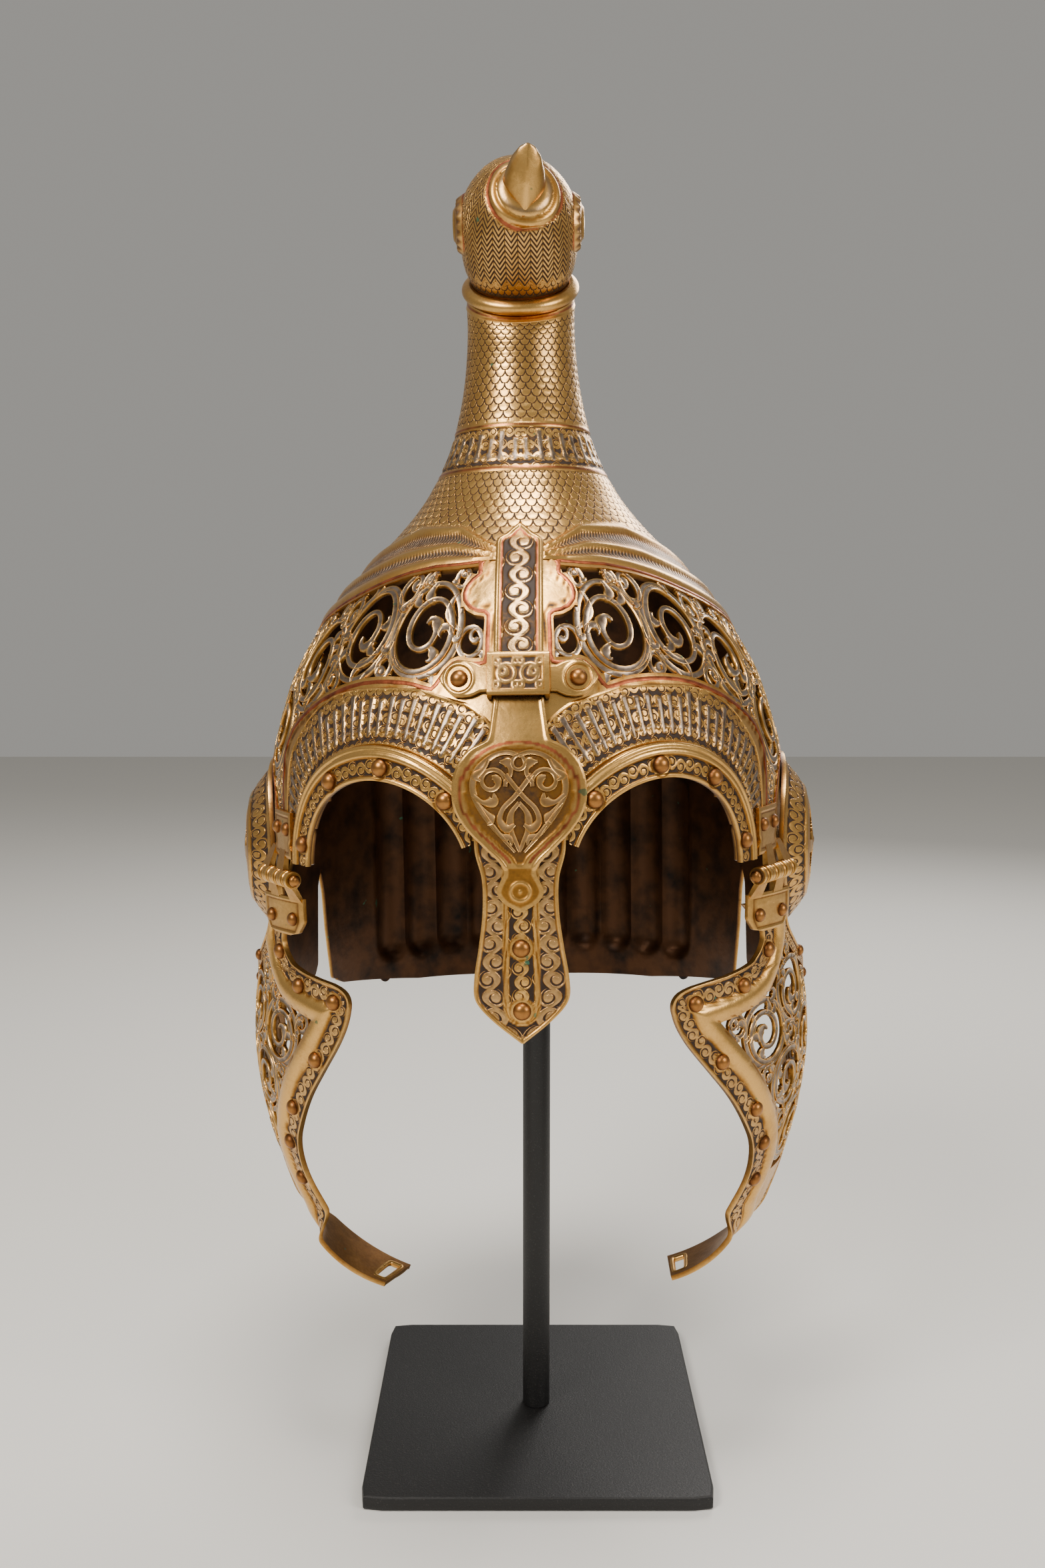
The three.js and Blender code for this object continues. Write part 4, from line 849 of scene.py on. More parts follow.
def add_panel_work():
    """Scrolls through the pierced panels, in the thickness of the sheet, and the inlaid line round them."""
    vines = Strands()
    x, z = (v.ravel() for v in grid_of(np.arange(14.0, 250), np.arange(282.0, 396)))
    add_vine_work(vines, unrolled, panel_room, x, z, 18.2, 1.52)
    outline = resampled(scaled(PANEL), 1.4)
    tangent = unit(np.gradient(outline, axis=0))
    outward = np.stack([tangent[:, 1], -tangent[:, 0]], -1)
    probe = panel_room(*(outline + outward).T)
    outward *= np.where(probe > 0, -1, 1)[:, None]
    lines = Strands()
    lay(lines, unrolled, outline + outward * 2.0, 0.8, 0.4, 0.45, LINE_SECTION, 1.0)
    for hand, name in SIDES:
        vines.piece(f"panel_vines_{name}", hand=hand, **BRASS)
        lines.piece(f"panel_copper_line_{name}", hand=hand, **BRASS)


def run_of(grid):
    """Distance along the first way of a grid of places, measured in its middle row."""
    middle = grid[:, grid.shape[1] // 2]
    return np.concatenate([[0], np.cumsum(np.linalg.norm(np.diff(middle, axis=0), axis=1))])


def scroll_marks(along, across, period, tall, strength):
    """Places in the running scroll: waves along, rows across, and how strongly the ground is darkened."""
    return np.stack(np.broadcast_arrays(along / period, across / tall, strength), -1)


def add_ornament_bands():
    """Band of lancets between each arch and its pierced panel: it runs from the arch's margin up to an
    oval with flattened sides. Its radius at angle a is (|cos a / 64.3|^2.9 + |sin a / 71.2|^2.9)^(-1/2.9)."""
    angle, share = grid_of(np.linspace(1.5, 151, 330), np.linspace(0, 1, 30))
    a = np.radians(angle)
    low_turn, low_z = arch_point(angle, 12.2)
    radius = ((np.abs(np.cos(a)) / 64.3) ** 2.9 + (np.abs(np.sin(a)) / 71.2) ** 2.9) ** (-1 / 2.9)
    # Toward the nose the band keeps below the keeper
    ceiling = 340.2 + 0.5 * (ARCH_TURN + radius * np.cos(a) / MM_PER_TURN - 8)
    lower = np.minimum(radius, (ceiling - ARCH_SPRING) / np.maximum(np.sin(a), 0.2))
    radius = np.where(angle > 95, lower, radius)
    turn = low_turn + (ARCH_TURN + radius * np.cos(a) / MM_PER_TURN - low_turn) * share
    z = low_z + (ARCH_SPRING + radius * np.sin(a) - low_z) * share
    surface = on_bowl(turn, z, 0 * z)
    along = run_of(surface)[:, None]
    tall = np.linalg.norm(surface[:, -1] - surface[:, 0], axis=1)[:, None]
    y = share * tall
    border = np.maximum(bump(y, 0.7, 0.8), bump(y, tall - 0.7, 0.8))
    field = smooth(y, 1.2, 1.8) * smooth(tall - y, 1.2, 1.8)
    raised, rim, face = lancets(along, y - 1.6, np.maximum(tall - 3.2, 4), 4.7)
    outer = on_bowl(turn, z, 0.1 + 0.5 * raised * field + 0.5 * border)
    keep = 0.25 * (turn[1:, 1:] + turn[:-1, 1:] + turn[1:, :-1] + turn[:-1, :-1]) > 4.3
    marks = {
        "tone": 0.8 + 0.15 * np.maximum(rim * field, border) - 0.45 * field * bump(raised, 0.3, 0.3),
        "silver": 0.9 * face * field,
        "scroll": scroll_marks(along, y, 7.6, 5.6, field * (1 - raised))}
    for hand, name in SIDES:
        wall(f"ornament_band_{name}", outer, on_bowl(turn, z, -0.4 + 0 * z), marks, keep, inside=0.0,
             hand=hand, **BRASS)


def add_brow_rims():
    """Rim of each eye arch: a strip of scrolls between rivets, then two rounded mouldings."""
    nasal_side = np.degrees(np.arcsin(17.6 / bowl_half(322.0)))
    angle, margin = grid_of(np.linspace(0, 160, 210), np.linspace(-0.6, 12, 36))
    turn, z = arch_point(angle, margin)
    turn = np.maximum(turn, nasal_side)
    along = run_of(on_bowl(turn, z, 0 * z))[:, None]
    spots = np.array([12.0, 58.0, 94.0, 134.0])
    rivet_runs = np.interp(spots, angle[:, 0], along[:, 0])
    clear = np.min([np.hypot(along - run, margin - 4.3) for run in rivet_runs], axis=0)
    strip = smooth(7.6 - margin, 0.2, 0.7)
    field = smooth(margin, 0.9, 1.4) * strip * smooth(clear, 4.2, 4.8)
    vine = running_scroll(along / 8.7, (margin - 4.2) / 6.0)
    mouldings = half_rounds(margin, (8.75, 1.3), (11.0, 1.05))
    height = 2.1 + 0.45 * bump(margin, 0.3, 0.9) - 0.25 * field * (1 - vine) + 0.9 * mouldings
    height -= 0.35 * smooth(clear, 4.6, 4.0) * strip
    tone = 0.82 + 0.13 * mouldings - 0.6 * bump(margin, 7.5, 0.5) - 0.5 * bump(clear, 4.5, 0.5) * strip
    marks = {"tone": np.clip(tone, 0.05, 1), "scroll": scroll_marks(along, margin - 4.2, 8.7, 6.0, field)}
    rivets = Strands()
    for spot in spots:
        t, h = arch_point(np.array([spot]), 12 * 0.36)
        rivets.add_dome(on_bowl(t, h, [2.0])[0], bowl_normal(t, h)[0], 3.4, 2.6)
    for hand, name in SIDES:
        wall(f"brow_rim_relief_{name}", on_bowl(turn, z, height), on_bowl(turn, z, 0.3 + 0 * z), marks,
             hand=hand, stands_for=[f"brow_rim_{name}"], **BRASS)
        rivets.piece(f"brow_rivets_{name}", hand=hand,
                     stands_for=[f"brow_rivet_{i}_{name}" for i in (1, 2, 3, 4)], **COPPER)


# Neck, collar and head of the bird
COLLAR_Z, COLLAR_RADIUS, WIRE, NECK_TILT, HEAD_LENGTH, HEAD_RADIUS = 518.0, 23.7, 3.2, 35.0, 55.0, 25.0
COLLAR_REACH = WIRE * math.sin(math.radians(60))
# Share of the height to the collar, of the tilt, setback in millimetres and radius in collar radii
NECK_ROWS = np.array([
    (0, 0, 0, 1.593), (0.14, 0, 1, 1.37), (0.28, 0, 2, 1.224), (0.45, 0.05, 3, 1.097), (0.63, 0.2, 3, 1.018),
    (0.8, 0.5, 2, 0.986), (0.97, 1, 1.8, 1.0),
])


def tilted(turn, radius, tilt, back, z):
    """A ring of that radius that leans forward by the tilt about its left-right line."""
    a, t = np.radians(turn), np.radians(tilt)
    ahead = radius * np.cos(a)
    return np.stack([radius * np.sin(a), back - ahead * np.cos(t), z - ahead * np.sin(t)], -1)


def above_collar(turn, radius, along):
    """A place round the head's axis, which starts at the collar and leans forward with it."""
    t = np.radians(NECK_TILT)
    step = np.asarray(along)[..., None] * np.array([0, -np.sin(t), np.cos(t)])
    return tilted(turn, radius, NECK_TILT, 0, COLLAR_Z) + step


def neck_place(turn, up, off):
    """Rings between the bowl and the collar, by the table's rows."""
    tilt, back, half = (between(NECK_ROWS[:, 0], NECK_ROWS[:, k], up) for k in (1, 2, 3))
    z = NECK_JOINT + up * (COLLAR_Z - NECK_JOINT)
    return tilted(turn, half * COLLAR_RADIUS + off, tilt * NECK_TILT, back, z)


def add_neck():
    """Scales above an ornament band that lies between two inlaid rings."""
    up, turn = grid_of(np.linspace(0.002, 0.97, 104), np.linspace(0, 360, 320, endpoint=False))
    flat_z = NECK_JOINT + up * (COLLAR_Z - NECK_JOINT)
    low, high = 436.2, 455.7
    # Folding the turn at the back keeps the pattern whole where the grid closes
    side = 180 - np.abs(180 - turn)
    around = np.radians(side) * 29
    y = flat_z - low
    tall = high - low
    field = smooth(y, 1.2, 1.7) * smooth(tall - y, 1.2, 1.7)
    raised, rim, face = lancets(around, y - 1.6, tall - 3.2, TAU * 29 / 38)
    ring = np.maximum(bump(y, 0.2, 0.9), bump(y, tall, 0.9))
    top_ring = bump(up, 0.915, 0.016)
    scaled_part = smooth(flat_z, high + 1.2, high + 1.8) * smooth(0.905 - up, 0, 0.01)
    cells = np.stack([side * 36 / 360, flat_z / 3.25, scaled_part], -1)
    off = (0.4 * raised - 0.15) * field + 0.35 * ring + 0.45 * top_ring
    off += 0.2 * scales(cells[..., 0], cells[..., 1]) * scaled_part
    tone = np.clip(0.86 + 0.12 * rim * field - 0.4 * field * bump(raised, 0.3, 0.3), 0.08, 1)
    copper = np.clip(bump(y, 0.2, 0.9) + bump(y, tall, 0.9) + bump(up, 0.945, 0.014), 0, 1)
    marks = marked(
        up.shape, tone=tone, silver=0.9 * face * field, copper=smooth(copper, 0.35, 0.7), cells=cells,
        scroll=scroll_marks(around, y, TAU * 29 / 26, 5.2, field * (1 - raised)))
    neck = Strands()
    neck.add_rings(neck_place(turn, up, off), marks)
    neck.piece("neck_relief", stands_for=["bird_neck"], **BRASS)

    collar = Strands()
    section, turn = grid_of(np.linspace(0, 360, 30, endpoint=False), np.linspace(0, 360, 120, endpoint=False))
    s = np.radians(section)
    bead = 0.35 * bump(section, 90, 26) + 0.35 * bump(section, 270, 26)
    radius = COLLAR_RADIUS - WIRE * 0.4 + WIRE * 1.02 * np.cos(s)
    rings = above_collar(turn, radius, (WIRE * 0.93 + bead) * np.sin(s))
    line = smooth(bump(section, 285, 20), 0.3, 0.6)
    # Painted shade darkens the crevices where the ring meets the head and the neck
    crevice_shade = bump(section, 140, 50)
    collar.add_loop(rings, marked(rings.shape[:2], tone=0.85 - 0.5 * line - 0.75 * crevice_shade, copper=line))
    collar.piece("collar_moulding", stands_for=["collar_ring"], **BRASS)


# Share of the head's length, and radius in its radii
HEAD_ROWS = np.array([
    (0, 0.84), (0.14, 0.95), (0.34, 1), (0.54, 1), (0.72, 0.88), (0.87, 0.64), (0.96, 0.36), (1.0, 0.02),
])


def add_head():
    """Skull with feathers cut in the throat and mouldings round the beak, eye bosses and a hooked beak."""
    base = COLLAR_REACH + 0.3
    share, turn = grid_of(np.sin(np.linspace(0, np.pi / 2, 92)), np.linspace(0, 360, 200, endpoint=False))
    half = between(HEAD_ROWS[:, 0], HEAD_ROWS[:, 1], share)
    along = base + share * (HEAD_LENGTH - base)
    smooth_skull = above_collar(turn, half * HEAD_RADIUS, along)
    root = above_collar(np.array(0.0), HEAD_RADIUS * 0.45, HEAD_LENGTH * 0.74) + np.array([3.0, 0, 0])
    way = unit(np.array([0.05, -math.cos(math.radians(24)), math.sin(math.radians(24))]))
    from_root = smooth_skull - root
    forward = from_root @ way
    ring = np.linalg.norm(from_root - forward[..., None] * way, axis=-1)
    ring = np.where(forward > 0, ring, 40)
    side = 180 - np.abs(180 - turn)
    cups = half_rounds(ring, (8.9, 2.5), (12.9, 1.5))
    throat = smooth(ring, 15.9, 16.5) * smooth(66 - side, 0, 3)
    # 30 feathers round the head end in points over the scales; their barbs are drawn half as fine as real
    column = (side * 30 / 360) % 1 - 0.5
    tip = 8.5 + 5.5 * np.abs(column)
    feather = throat * smooth(along, tip + 0.3, tip + 0.9)
    on_scales = 1 - throat * smooth(along, tip - 0.9, tip - 0.3)
    on_scales = on_scales * smooth(ring, 15.9, 16.5) * smooth(along, 4.2, 4.6)
    cells = np.where(
        (throat * (along > tip) > 0.5)[..., None],
        np.stack([side * 30 / 360, along / 2.3, -feather], -1),
        np.stack([side * 46 / 360, along / 2.5, on_scales], -1))
    off = 1.2 * cups + 0.25 * feather + 0.2 * scales(cells[..., 0], cells[..., 1]) * on_scales
    tone = 0.9 - 0.5 * bump(ring, 12.0, 0.8) - 0.6 * bump(ring, 15.4, 0.7)
    # Painted shade darkens the skull's lowest 1.8 mm, where it meets the collar ring
    tone -= 0.8 * smooth(base + 1.8, base + 0.4, along)
    skull = above_collar(turn, half * HEAD_RADIUS + off, along)
    head = Strands()
    head.add_rings(skull, marked(
        skull.shape[:2], tone=np.clip(tone, 0.05, 1), copper=smooth(bump(ring, 15.3, 1.1), 0.3, 0.6),
        cells=cells, silver=0.5 * bump(ring, 9.4, 1.5)))

    # Eye bosses: domes with a beaded rim
    for hand, _ in SIDES:
        out, a = grid_of(np.linspace(0.02, 1, 30)[::-1], np.linspace(0, TAU, 68, endpoint=False))
        swell = np.sqrt(np.clip(1 - out ** 2, 0, 1))
        beads = 0.5 + 0.5 * np.sin(17 * a)
        rim = bump(out, 0.78, 0.16)
        height = HEAD_RADIUS - 5 + 8.0 * swell ** 0.9 + 0.9 * rim * beads + 0.5 * bump(out, 0.45, 0.09)
        boss = above_collar(np.array(90.0 * hand), height, HEAD_LENGTH * 0.5)
        boss = boss + np.stack([0 * out, 10.5 * out * np.cos(a), 13.5 * out * np.sin(a)], -1)
        line = smooth(bump(out, 0.95, 0.05), 0.4, 0.7)
        shade = np.clip(0.85 - 0.65 * rim * (1 - beads) - 0.4 * bump(out, 0.58, 0.06), 0.05, 1)
        head.add_rings(boss, marked(boss.shape[:2], tone=shade, copper=line, silver=0.3 * rim))

    # The beak: a blade that hooks upward, wide above and sharp below
    along, a = grid_of(np.linspace(0, 0.985, 40), np.linspace(0, TAU, 36, endpoint=False))
    size = np.interp(along, [0, 0.25, 0.5, 0.72, 0.88, 0.985], [1.15, 1.15, 1.0, 0.78, 0.46, 0.1])
    lean = np.radians(6 + 31 * along)
    centre = root - np.array([1.0, 0, 0]) + np.stack(
        [3 * along, -23.3 * along * np.cos(lean), 23.3 * along * np.sin(lean) + 2 * along], -1)
    keel = 0.6 + 0.4 * np.sin(a)
    beak = centre + np.stack([11.4 * size * keel * np.cos(a), 0 * size, size * (9.0 * np.sin(a) - 1.5)], -1)
    tone = np.clip(0.95 - 0.3 * bump(np.sin(a), 0.1, 0.2), 0.1, 1)
    # The silver laid on the upper sides of the beak is a painted highlight on its bevels
    head.add_rings(beak, marked(beak.shape[:2], tone=tone, silver=0.45 * smooth(np.sin(a), 0.1, 0.5)))
    head.piece("head_relief", stands_for=["bird_head"], sharp=40, **BRASS)


# Plates on the front: share of a plate's length down from its top, and half width in its half widths
NASAL_ROWS = np.array([
    (0, 0.92), (0.16, 0.94), (0.32, 0.94), (0.42, 0.8), (0.535, 0.795), (0.655, 0.885), (0.78, 1),
    (0.85, 0.965), (0.915, 0.63), (0.995, 0.03),
])
NASAL_TOP, NASAL_TIP, NASAL_HALF = 322.0, 215.3, 17.3
KEEPER_LEVEL, KEEPER_HALF, SLIDE_TRAVEL = 349.5, 7.3, 4.0
DROP_HALF, SLIDE_TIP = 23.7, 265.0
DROP_TOP = KEEPER_LEVEL - KEEPER_HALF - SLIDE_TRAVEL - 10.5
DROP_ROWS = np.array([
    (0.0, 0.46), (0.02, 0.5), (0.07, 0.74), (0.16, 0.93), (0.28, 1), (0.4, 0.96), (0.52, 0.77),
    (0.62, 0.52), (0.7, 0.31), (0.76, 0.235), (0.82, 0.3), (0.88, 0.345), (0.94, 0.25), (0.995, 0.02),
])


def edge_distance(share, half, z):
    """Distance in from the side edge of a plate whose half width changes with height."""
    return half * (1 - np.abs(share)) / np.hypot(1, np.gradient(half, z))


def add_nasal_plate():
    """Plate down the nose: a raised strip in the middle, scrolls in the sunk borders beside it."""
    z_line = np.linspace(NASAL_TOP, NASAL_TIP + 0.5, 140)
    down = (NASAL_TOP - z_line) / (NASAL_TOP - NASAL_TIP)
    half_line = NASAL_HALF * between(NASAL_ROWS[:, 0], NASAL_ROWS[:, 1], down)
    share, z = grid_of(np.linspace(-1, 1, 54), z_line)
    x = share * half_line
    edge = edge_distance(share, half_line, z_line)
    strip_end = 229.0
    strip = 5.6 - np.where(z < strip_end, np.hypot(x, z - strip_end), np.abs(x))
    border = smooth(edge, 1.5, 2.0) * smooth(-strip, 0.9, 1.4)
    rivet_z = NASAL_TOP - np.array([0.66, 0.88]) * (NASAL_TOP - NASAL_TIP)
    clear = np.min([np.hypot(x, z - spot) for spot in rivet_z], axis=0)
    inner = smooth(strip, 1.0, 1.4) * smooth(clear, 4.4, 5.0)
    beside = np.where(strip > 0, x, np.abs(x) - (5.0 + half_line) / 2)
    wave, row = np.where(strip > 0, 10.5, 13.5), np.where(strip > 0, 7.2, 9.4)
    vine = running_scroll(z / wave, beside / row)
    field = np.maximum(border, inner)
    height = 2.1 + 0.5 * bump(edge, 0.6, 1.1) + 0.75 * smooth(strip, 0, 0.5) - 0.3 * field * (1 - 1.3 * vine)
    tone = 0.85 - 0.5 * bump(edge, 1.6, 0.4) - 0.5 * bump(strip, -0.3, 0.5)
    tone -= 0.4 * bump(clear, 4.4, 0.5) * (strip > 0)
    marks = {"tone": np.clip(tone, 0.05, 1), "silver": 0.3 * border,
             "scroll": scroll_marks(z, beside, wave, row, field)}
    wall("nasal_relief", front_of(x, z, height), front_of(x, z, PLATE_GAP + 0 * z), marks,
         stands_for=["nasal_plate"], **BRASS)
    rivets = Strands()
    for spot in rivet_z:
        foot = front_of(np.array([0.0]), np.array([spot]), [2.9])[0]
        rivets.add_dome(foot, np.array([0.0, -1, 0]), 3.4, 2.6)
    rivets.piece("nasal_rivets", stands_for=["nasal_rivet_1", "nasal_rivet_2"], **COPPER)


def slide_half(z):
    """Half width of the slide: pointed top, straight bar, then the drop with its small finial."""
    bar = np.interp(
        z, [DROP_TOP + 2, 341.2, 378, 401.5, 403.2, 405, 410], [10.4, 9.1, 9.1, 9.1, 8.6, 5.7, 0.3])
    down = (DROP_TOP - z) / (DROP_TOP - SLIDE_TIP)
    drop = DROP_HALF * between(DROP_ROWS[:, 0], DROP_ROWS[:, 1], np.clip(down, 0, 0.995))
    corner = np.interp(z, [DROP_TOP, DROP_TOP + 2], [DROP_HALF * 0.46, 10.4])
    return np.where(z <= DROP_TOP, drop, np.where(z < DROP_TOP + 2, corner, bar))


def slide_place(x, z, off):
    """A place on the slide, which lies on the nasal plate and, above it, on the bowl."""
    rest = PLATE_GAP + PLATE + 0.3
    return front_of(x, z, rest + (PLATE_GAP - rest) * smooth(z, NASAL_TOP + 2, 342.2) + off)


def add_slide():
    """Sliding bar: an inlaid line and a running scroll up its face; the drop carries an interlace in a pool
    whose top is the half of an oval 37 wide and whose foot keeps inside the drop's edge."""
    z_line = np.linspace(410, SLIDE_TIP + 0.4, 230)
    half_line = slide_half(z_line)
    share, z = grid_of(np.linspace(-1, 1, 50), z_line)
    x = share * half_line
    edge = edge_distance(share, half_line, z_line)
    shoulder = np.where((np.abs(x) > 9) & (z < DROP_TOP + 1), DROP_TOP + 1.5 - z, 99)
    edge = np.minimum(edge, np.maximum(shoulder, 0))
    on_bar = smooth(z, 357.0, 357.6)
    field = on_bar * smooth(edge, 2.7, 3.1) * smooth(404.5 - z, 0, 2)
    vine = running_scroll(z / 13.5, x / 10.8)
    oval = 15 * (1 - np.hypot(x / 19.0, (z - 309) / 15.4))
    pool_edge = np.where(z > 309, oval, edge - 4.4)
    on_drop = smooth(z, 282.5, 284)
    pool = on_drop * smooth(pool_edge, 0, 0.6)
    finial = smooth(282 - z, 0, 1)
    eye = np.hypot(x, z - 273.0)
    loop = (bump(eye, 3.4, 1.1) + bump(eye, 0, 1.2)) * finial
    height = 2.0 + 0.45 * bump(edge, 0.9, 1.0) * (1 - finial) - 0.5 * pool + 0.5 * loop
    height -= 0.3 * field * (1 - 1.4 * vine)
    by_pool = on_drop * (z < 340)
    line = smooth(on_bar * bump(edge, 2.3, 0.8) + by_pool * bump(pool_edge, -1.5, 0.9), 0.3, 0.6)
    tone = 0.88 - 0.6 * pool - 0.3 * line - 0.4 * by_pool * bump(pool_edge, -0.2, 0.6)
    tone -= 0.45 * finial * (1 - np.clip(loop, 0, 1)) * smooth(edge, 1.2, 2.0)
    marks = {"tone": np.clip(tone, 0.05, 1), "copper": line, "silver": 0.4 * field,
             "scroll": scroll_marks(z, x, 13.5, 10.8, field)}
    wall("slide_relief", slide_place(x, z, height), slide_place(x, z, 0 * z), marks,
         body="nasal", stands_for=["nasal_slide"], **BRASS)

    # Right half of the interlace, drawn; the left half mirrors it. After each path come its base width, its
    # swelling and where that lies
    strokes = [
        (through([(0, 321.6), (4.2, 322.6), (9.5, 321.2), (14.6, 317), (16.3, 310.5), (13.6, 303),
                  (8.2, 295.4), (1.6, 287.6)]), 0.8, 0.3, 0.5),
        (spiral((9.4, 313.0), 5.0, 1.5, 200, -1.3, 0.9), 0.75, 0.7, 0.95),
        (through([(-4.6, 315.6), (-1.6, 311.6), (1.8, 307.4), (5.6, 303.4), (6.8, 299), (4.4, 296),
                  (1.6, 297.6)]), 0.8, 0.5, 0.85),
        (through([(0, 305.6), (2.8, 301.6), (3.2, 296.4), (1.4, 291.4), (0, 287.6)]), 0.7, 0.5, 0.4),
        (through([(4.8, 312.6), (2.8, 316), (3.4, 319.2), (6.6, 319.8)]), 0.75, 0.7, 0.7),
        (through([(15.9, 308.2), (12.4, 305.6), (8.8, 306.2), (8.6, 309)]), 0.7, 0.9, 0.6),
        (through([(14.9, 305.6), (11, 301.4), (9.6, 298.8), (11.2, 297.6)]), 0.6, 0.7, 0.5),
        (through([(9.2, 297.4), (6.2, 293.4), (3.4, 292.6), (2.6, 290)]), 0.6, 0.6, 0.5),
        (through([(10.4, 320.4), (12.2, 317.4), (15.2, 314.8), (13.2, 313.2)]), 0.6, 0.6, 0.6),
    ]
    knot = Strands()
    for way in (1, -1):
        for i, (path, base, swell, at) in enumerate(strokes):
            half = 1.34 * swollen(path, base, swell, at, 0.5)
            level = 1.66 + 0.09 * (i % 3) + 0.05 * way
            lay(knot, slide_place, path * np.array([way, 1]), half, 0.85, level, silver=0.4)
    crown_loop = spiral((0, 319.4), 2.2, 2.2, 90, 1.03, 0.6)
    lay(knot, slide_place, crown_loop, swollen(crown_loop, 0.8, 0), 0.8, 1.85, silver=0.5)
    knot.piece("slide_interlace", body="nasal", **BRASS)


def add_keeper():
    """Bridge over the slide with two scroll squares, and a lobed ear with a rivet on each side."""
    inside_half, box, level, ear = 9.6, 11.2, KEEPER_LEVEL, 21.8
    roof = PLATE_GAP + WALL + SLIDE_TRAVEL * 0.65
    x_line = np.linspace(-29.2, 29.2, 150)
    tall = np.interp(np.abs(x_line), [0, 11.2, 11.4, 14, 15.5, 17.5, 20.5, 23.5, 25.5, 27.3, 28.4, 29.2],
                     [14.6, 14.6, 9.2, 9.4, 11.0, 12.6, 13.4, 12.8, 10.0, 6.4, 3.4, 0.5])[:, None]
    x, share = grid_of(x_line, np.linspace(-0.5, 0.5, 40))
    far = np.abs(x)
    z = level + share * tall
    edge = (0.5 - np.abs(share)) * tall
    over = smooth(far, box + 0.35, box - 0.35)
    field = smooth(8.3 - far, 0, 0.4) * smooth(edge, 1.9, 2.3)
    px, py = far - 4.1, np.abs(z - level)
    coil = np.hypot(px, z - level)
    curls = np.min([
        np.abs(coil - 3.0), np.abs(np.hypot(px - 1.1, z - level - 0.6) - 1.3), coil - 0.4,
        np.abs(np.hypot(np.abs(px) - 3.3, py - 3.9) - 1.0)], axis=0)
    motif = smooth(-curls, -0.8, -0.35)
    from_rivet = np.hypot(far - ear, z - level)
    height = 2.1 + (roof - PLATE_GAP) * over - 0.3 * field * (1 - motif) - 0.35 * bump(edge, 0, 0.7)
    height += (1 - over) * (0.3 * bump(from_rivet, 5.3, 0.8) - 0.35 * smooth(from_rivet, 4.9, 4.5))
    low = PLATE_GAP + (roof - PLATE_GAP) * smooth(far, inside_half + 0.25, inside_half - 0.25)
    tone = 0.9 - 0.85 * field * (1 - motif) - 0.5 * bump(far, 11.5, 0.6)
    tone -= 0.5 * (1 - over) * bump(from_rivet, 4.6, 0.5)
    tone -= 0.45 * bump(edge, 1.7, 0.4) * smooth(9.4 - far, 0, 0.4)
    tone -= 0.45 * bump(far, 8.8, 0.4) * smooth(edge, 1.4, 1.8)
    marks = {"tone": np.clip(tone, 0.05, 1), "silver": 0.25 * field * motif}
    wall("keeper_relief", front_of(x, z, height), front_of(x, z, low), marks,
         stands_for=["slide_keeper"], **BRASS)
    rivets = Strands()
    at_z = np.array([level])
    for way in (1, -1):
        spot = np.array([ear * way])
        normal = bowl_normal(np.degrees(np.arcsin(spot / bowl_half(at_z))), at_z)[0]
        rivets.add_dome(front_of(spot, at_z, [1.9])[0], normal, 3.4, 2.7)
    rivets.piece("keeper_rivets", stands_for=["keeper_rivet_right", "keeper_rivet_left"], **COPPER)


# Ear cups: share of the radius, and height in heights of the cup
CUP_ROWS = np.array([(0, 1), (0.36, 0.94), (0.64, 0.72), (0.93, 0.06), (1, 0.02)])


def cup_place(across, upward, off):
    """A place by its distance across and above the ear's middle, laid on the bowl."""
    per_turn = np.linalg.norm(bowl_skin(EAR_TURN + 0.5, EAR_LEVEL) - bowl_skin(EAR_TURN - 0.5, EAR_LEVEL))
    per_height = np.linalg.norm(bowl_skin(EAR_TURN, EAR_LEVEL + 0.5) - bowl_skin(EAR_TURN, EAR_LEVEL - 0.5))
    return on_bowl(EAR_TURN + across / per_turn, EAR_LEVEL + upward / per_height, off)


def rib_gap(angle, radius):
    """Six openings between the ribs, each narrowing to a point inward: above 0 within."""
    off_middle = np.radians(np.abs(angle % 60 - 30))
    beside = (np.radians(22) - off_middle) * radius * 0.9 - 3.0 * smooth(14 - radius, 0, 5)
    return np.min([radius - 9, 22 - radius, beside], axis=0)


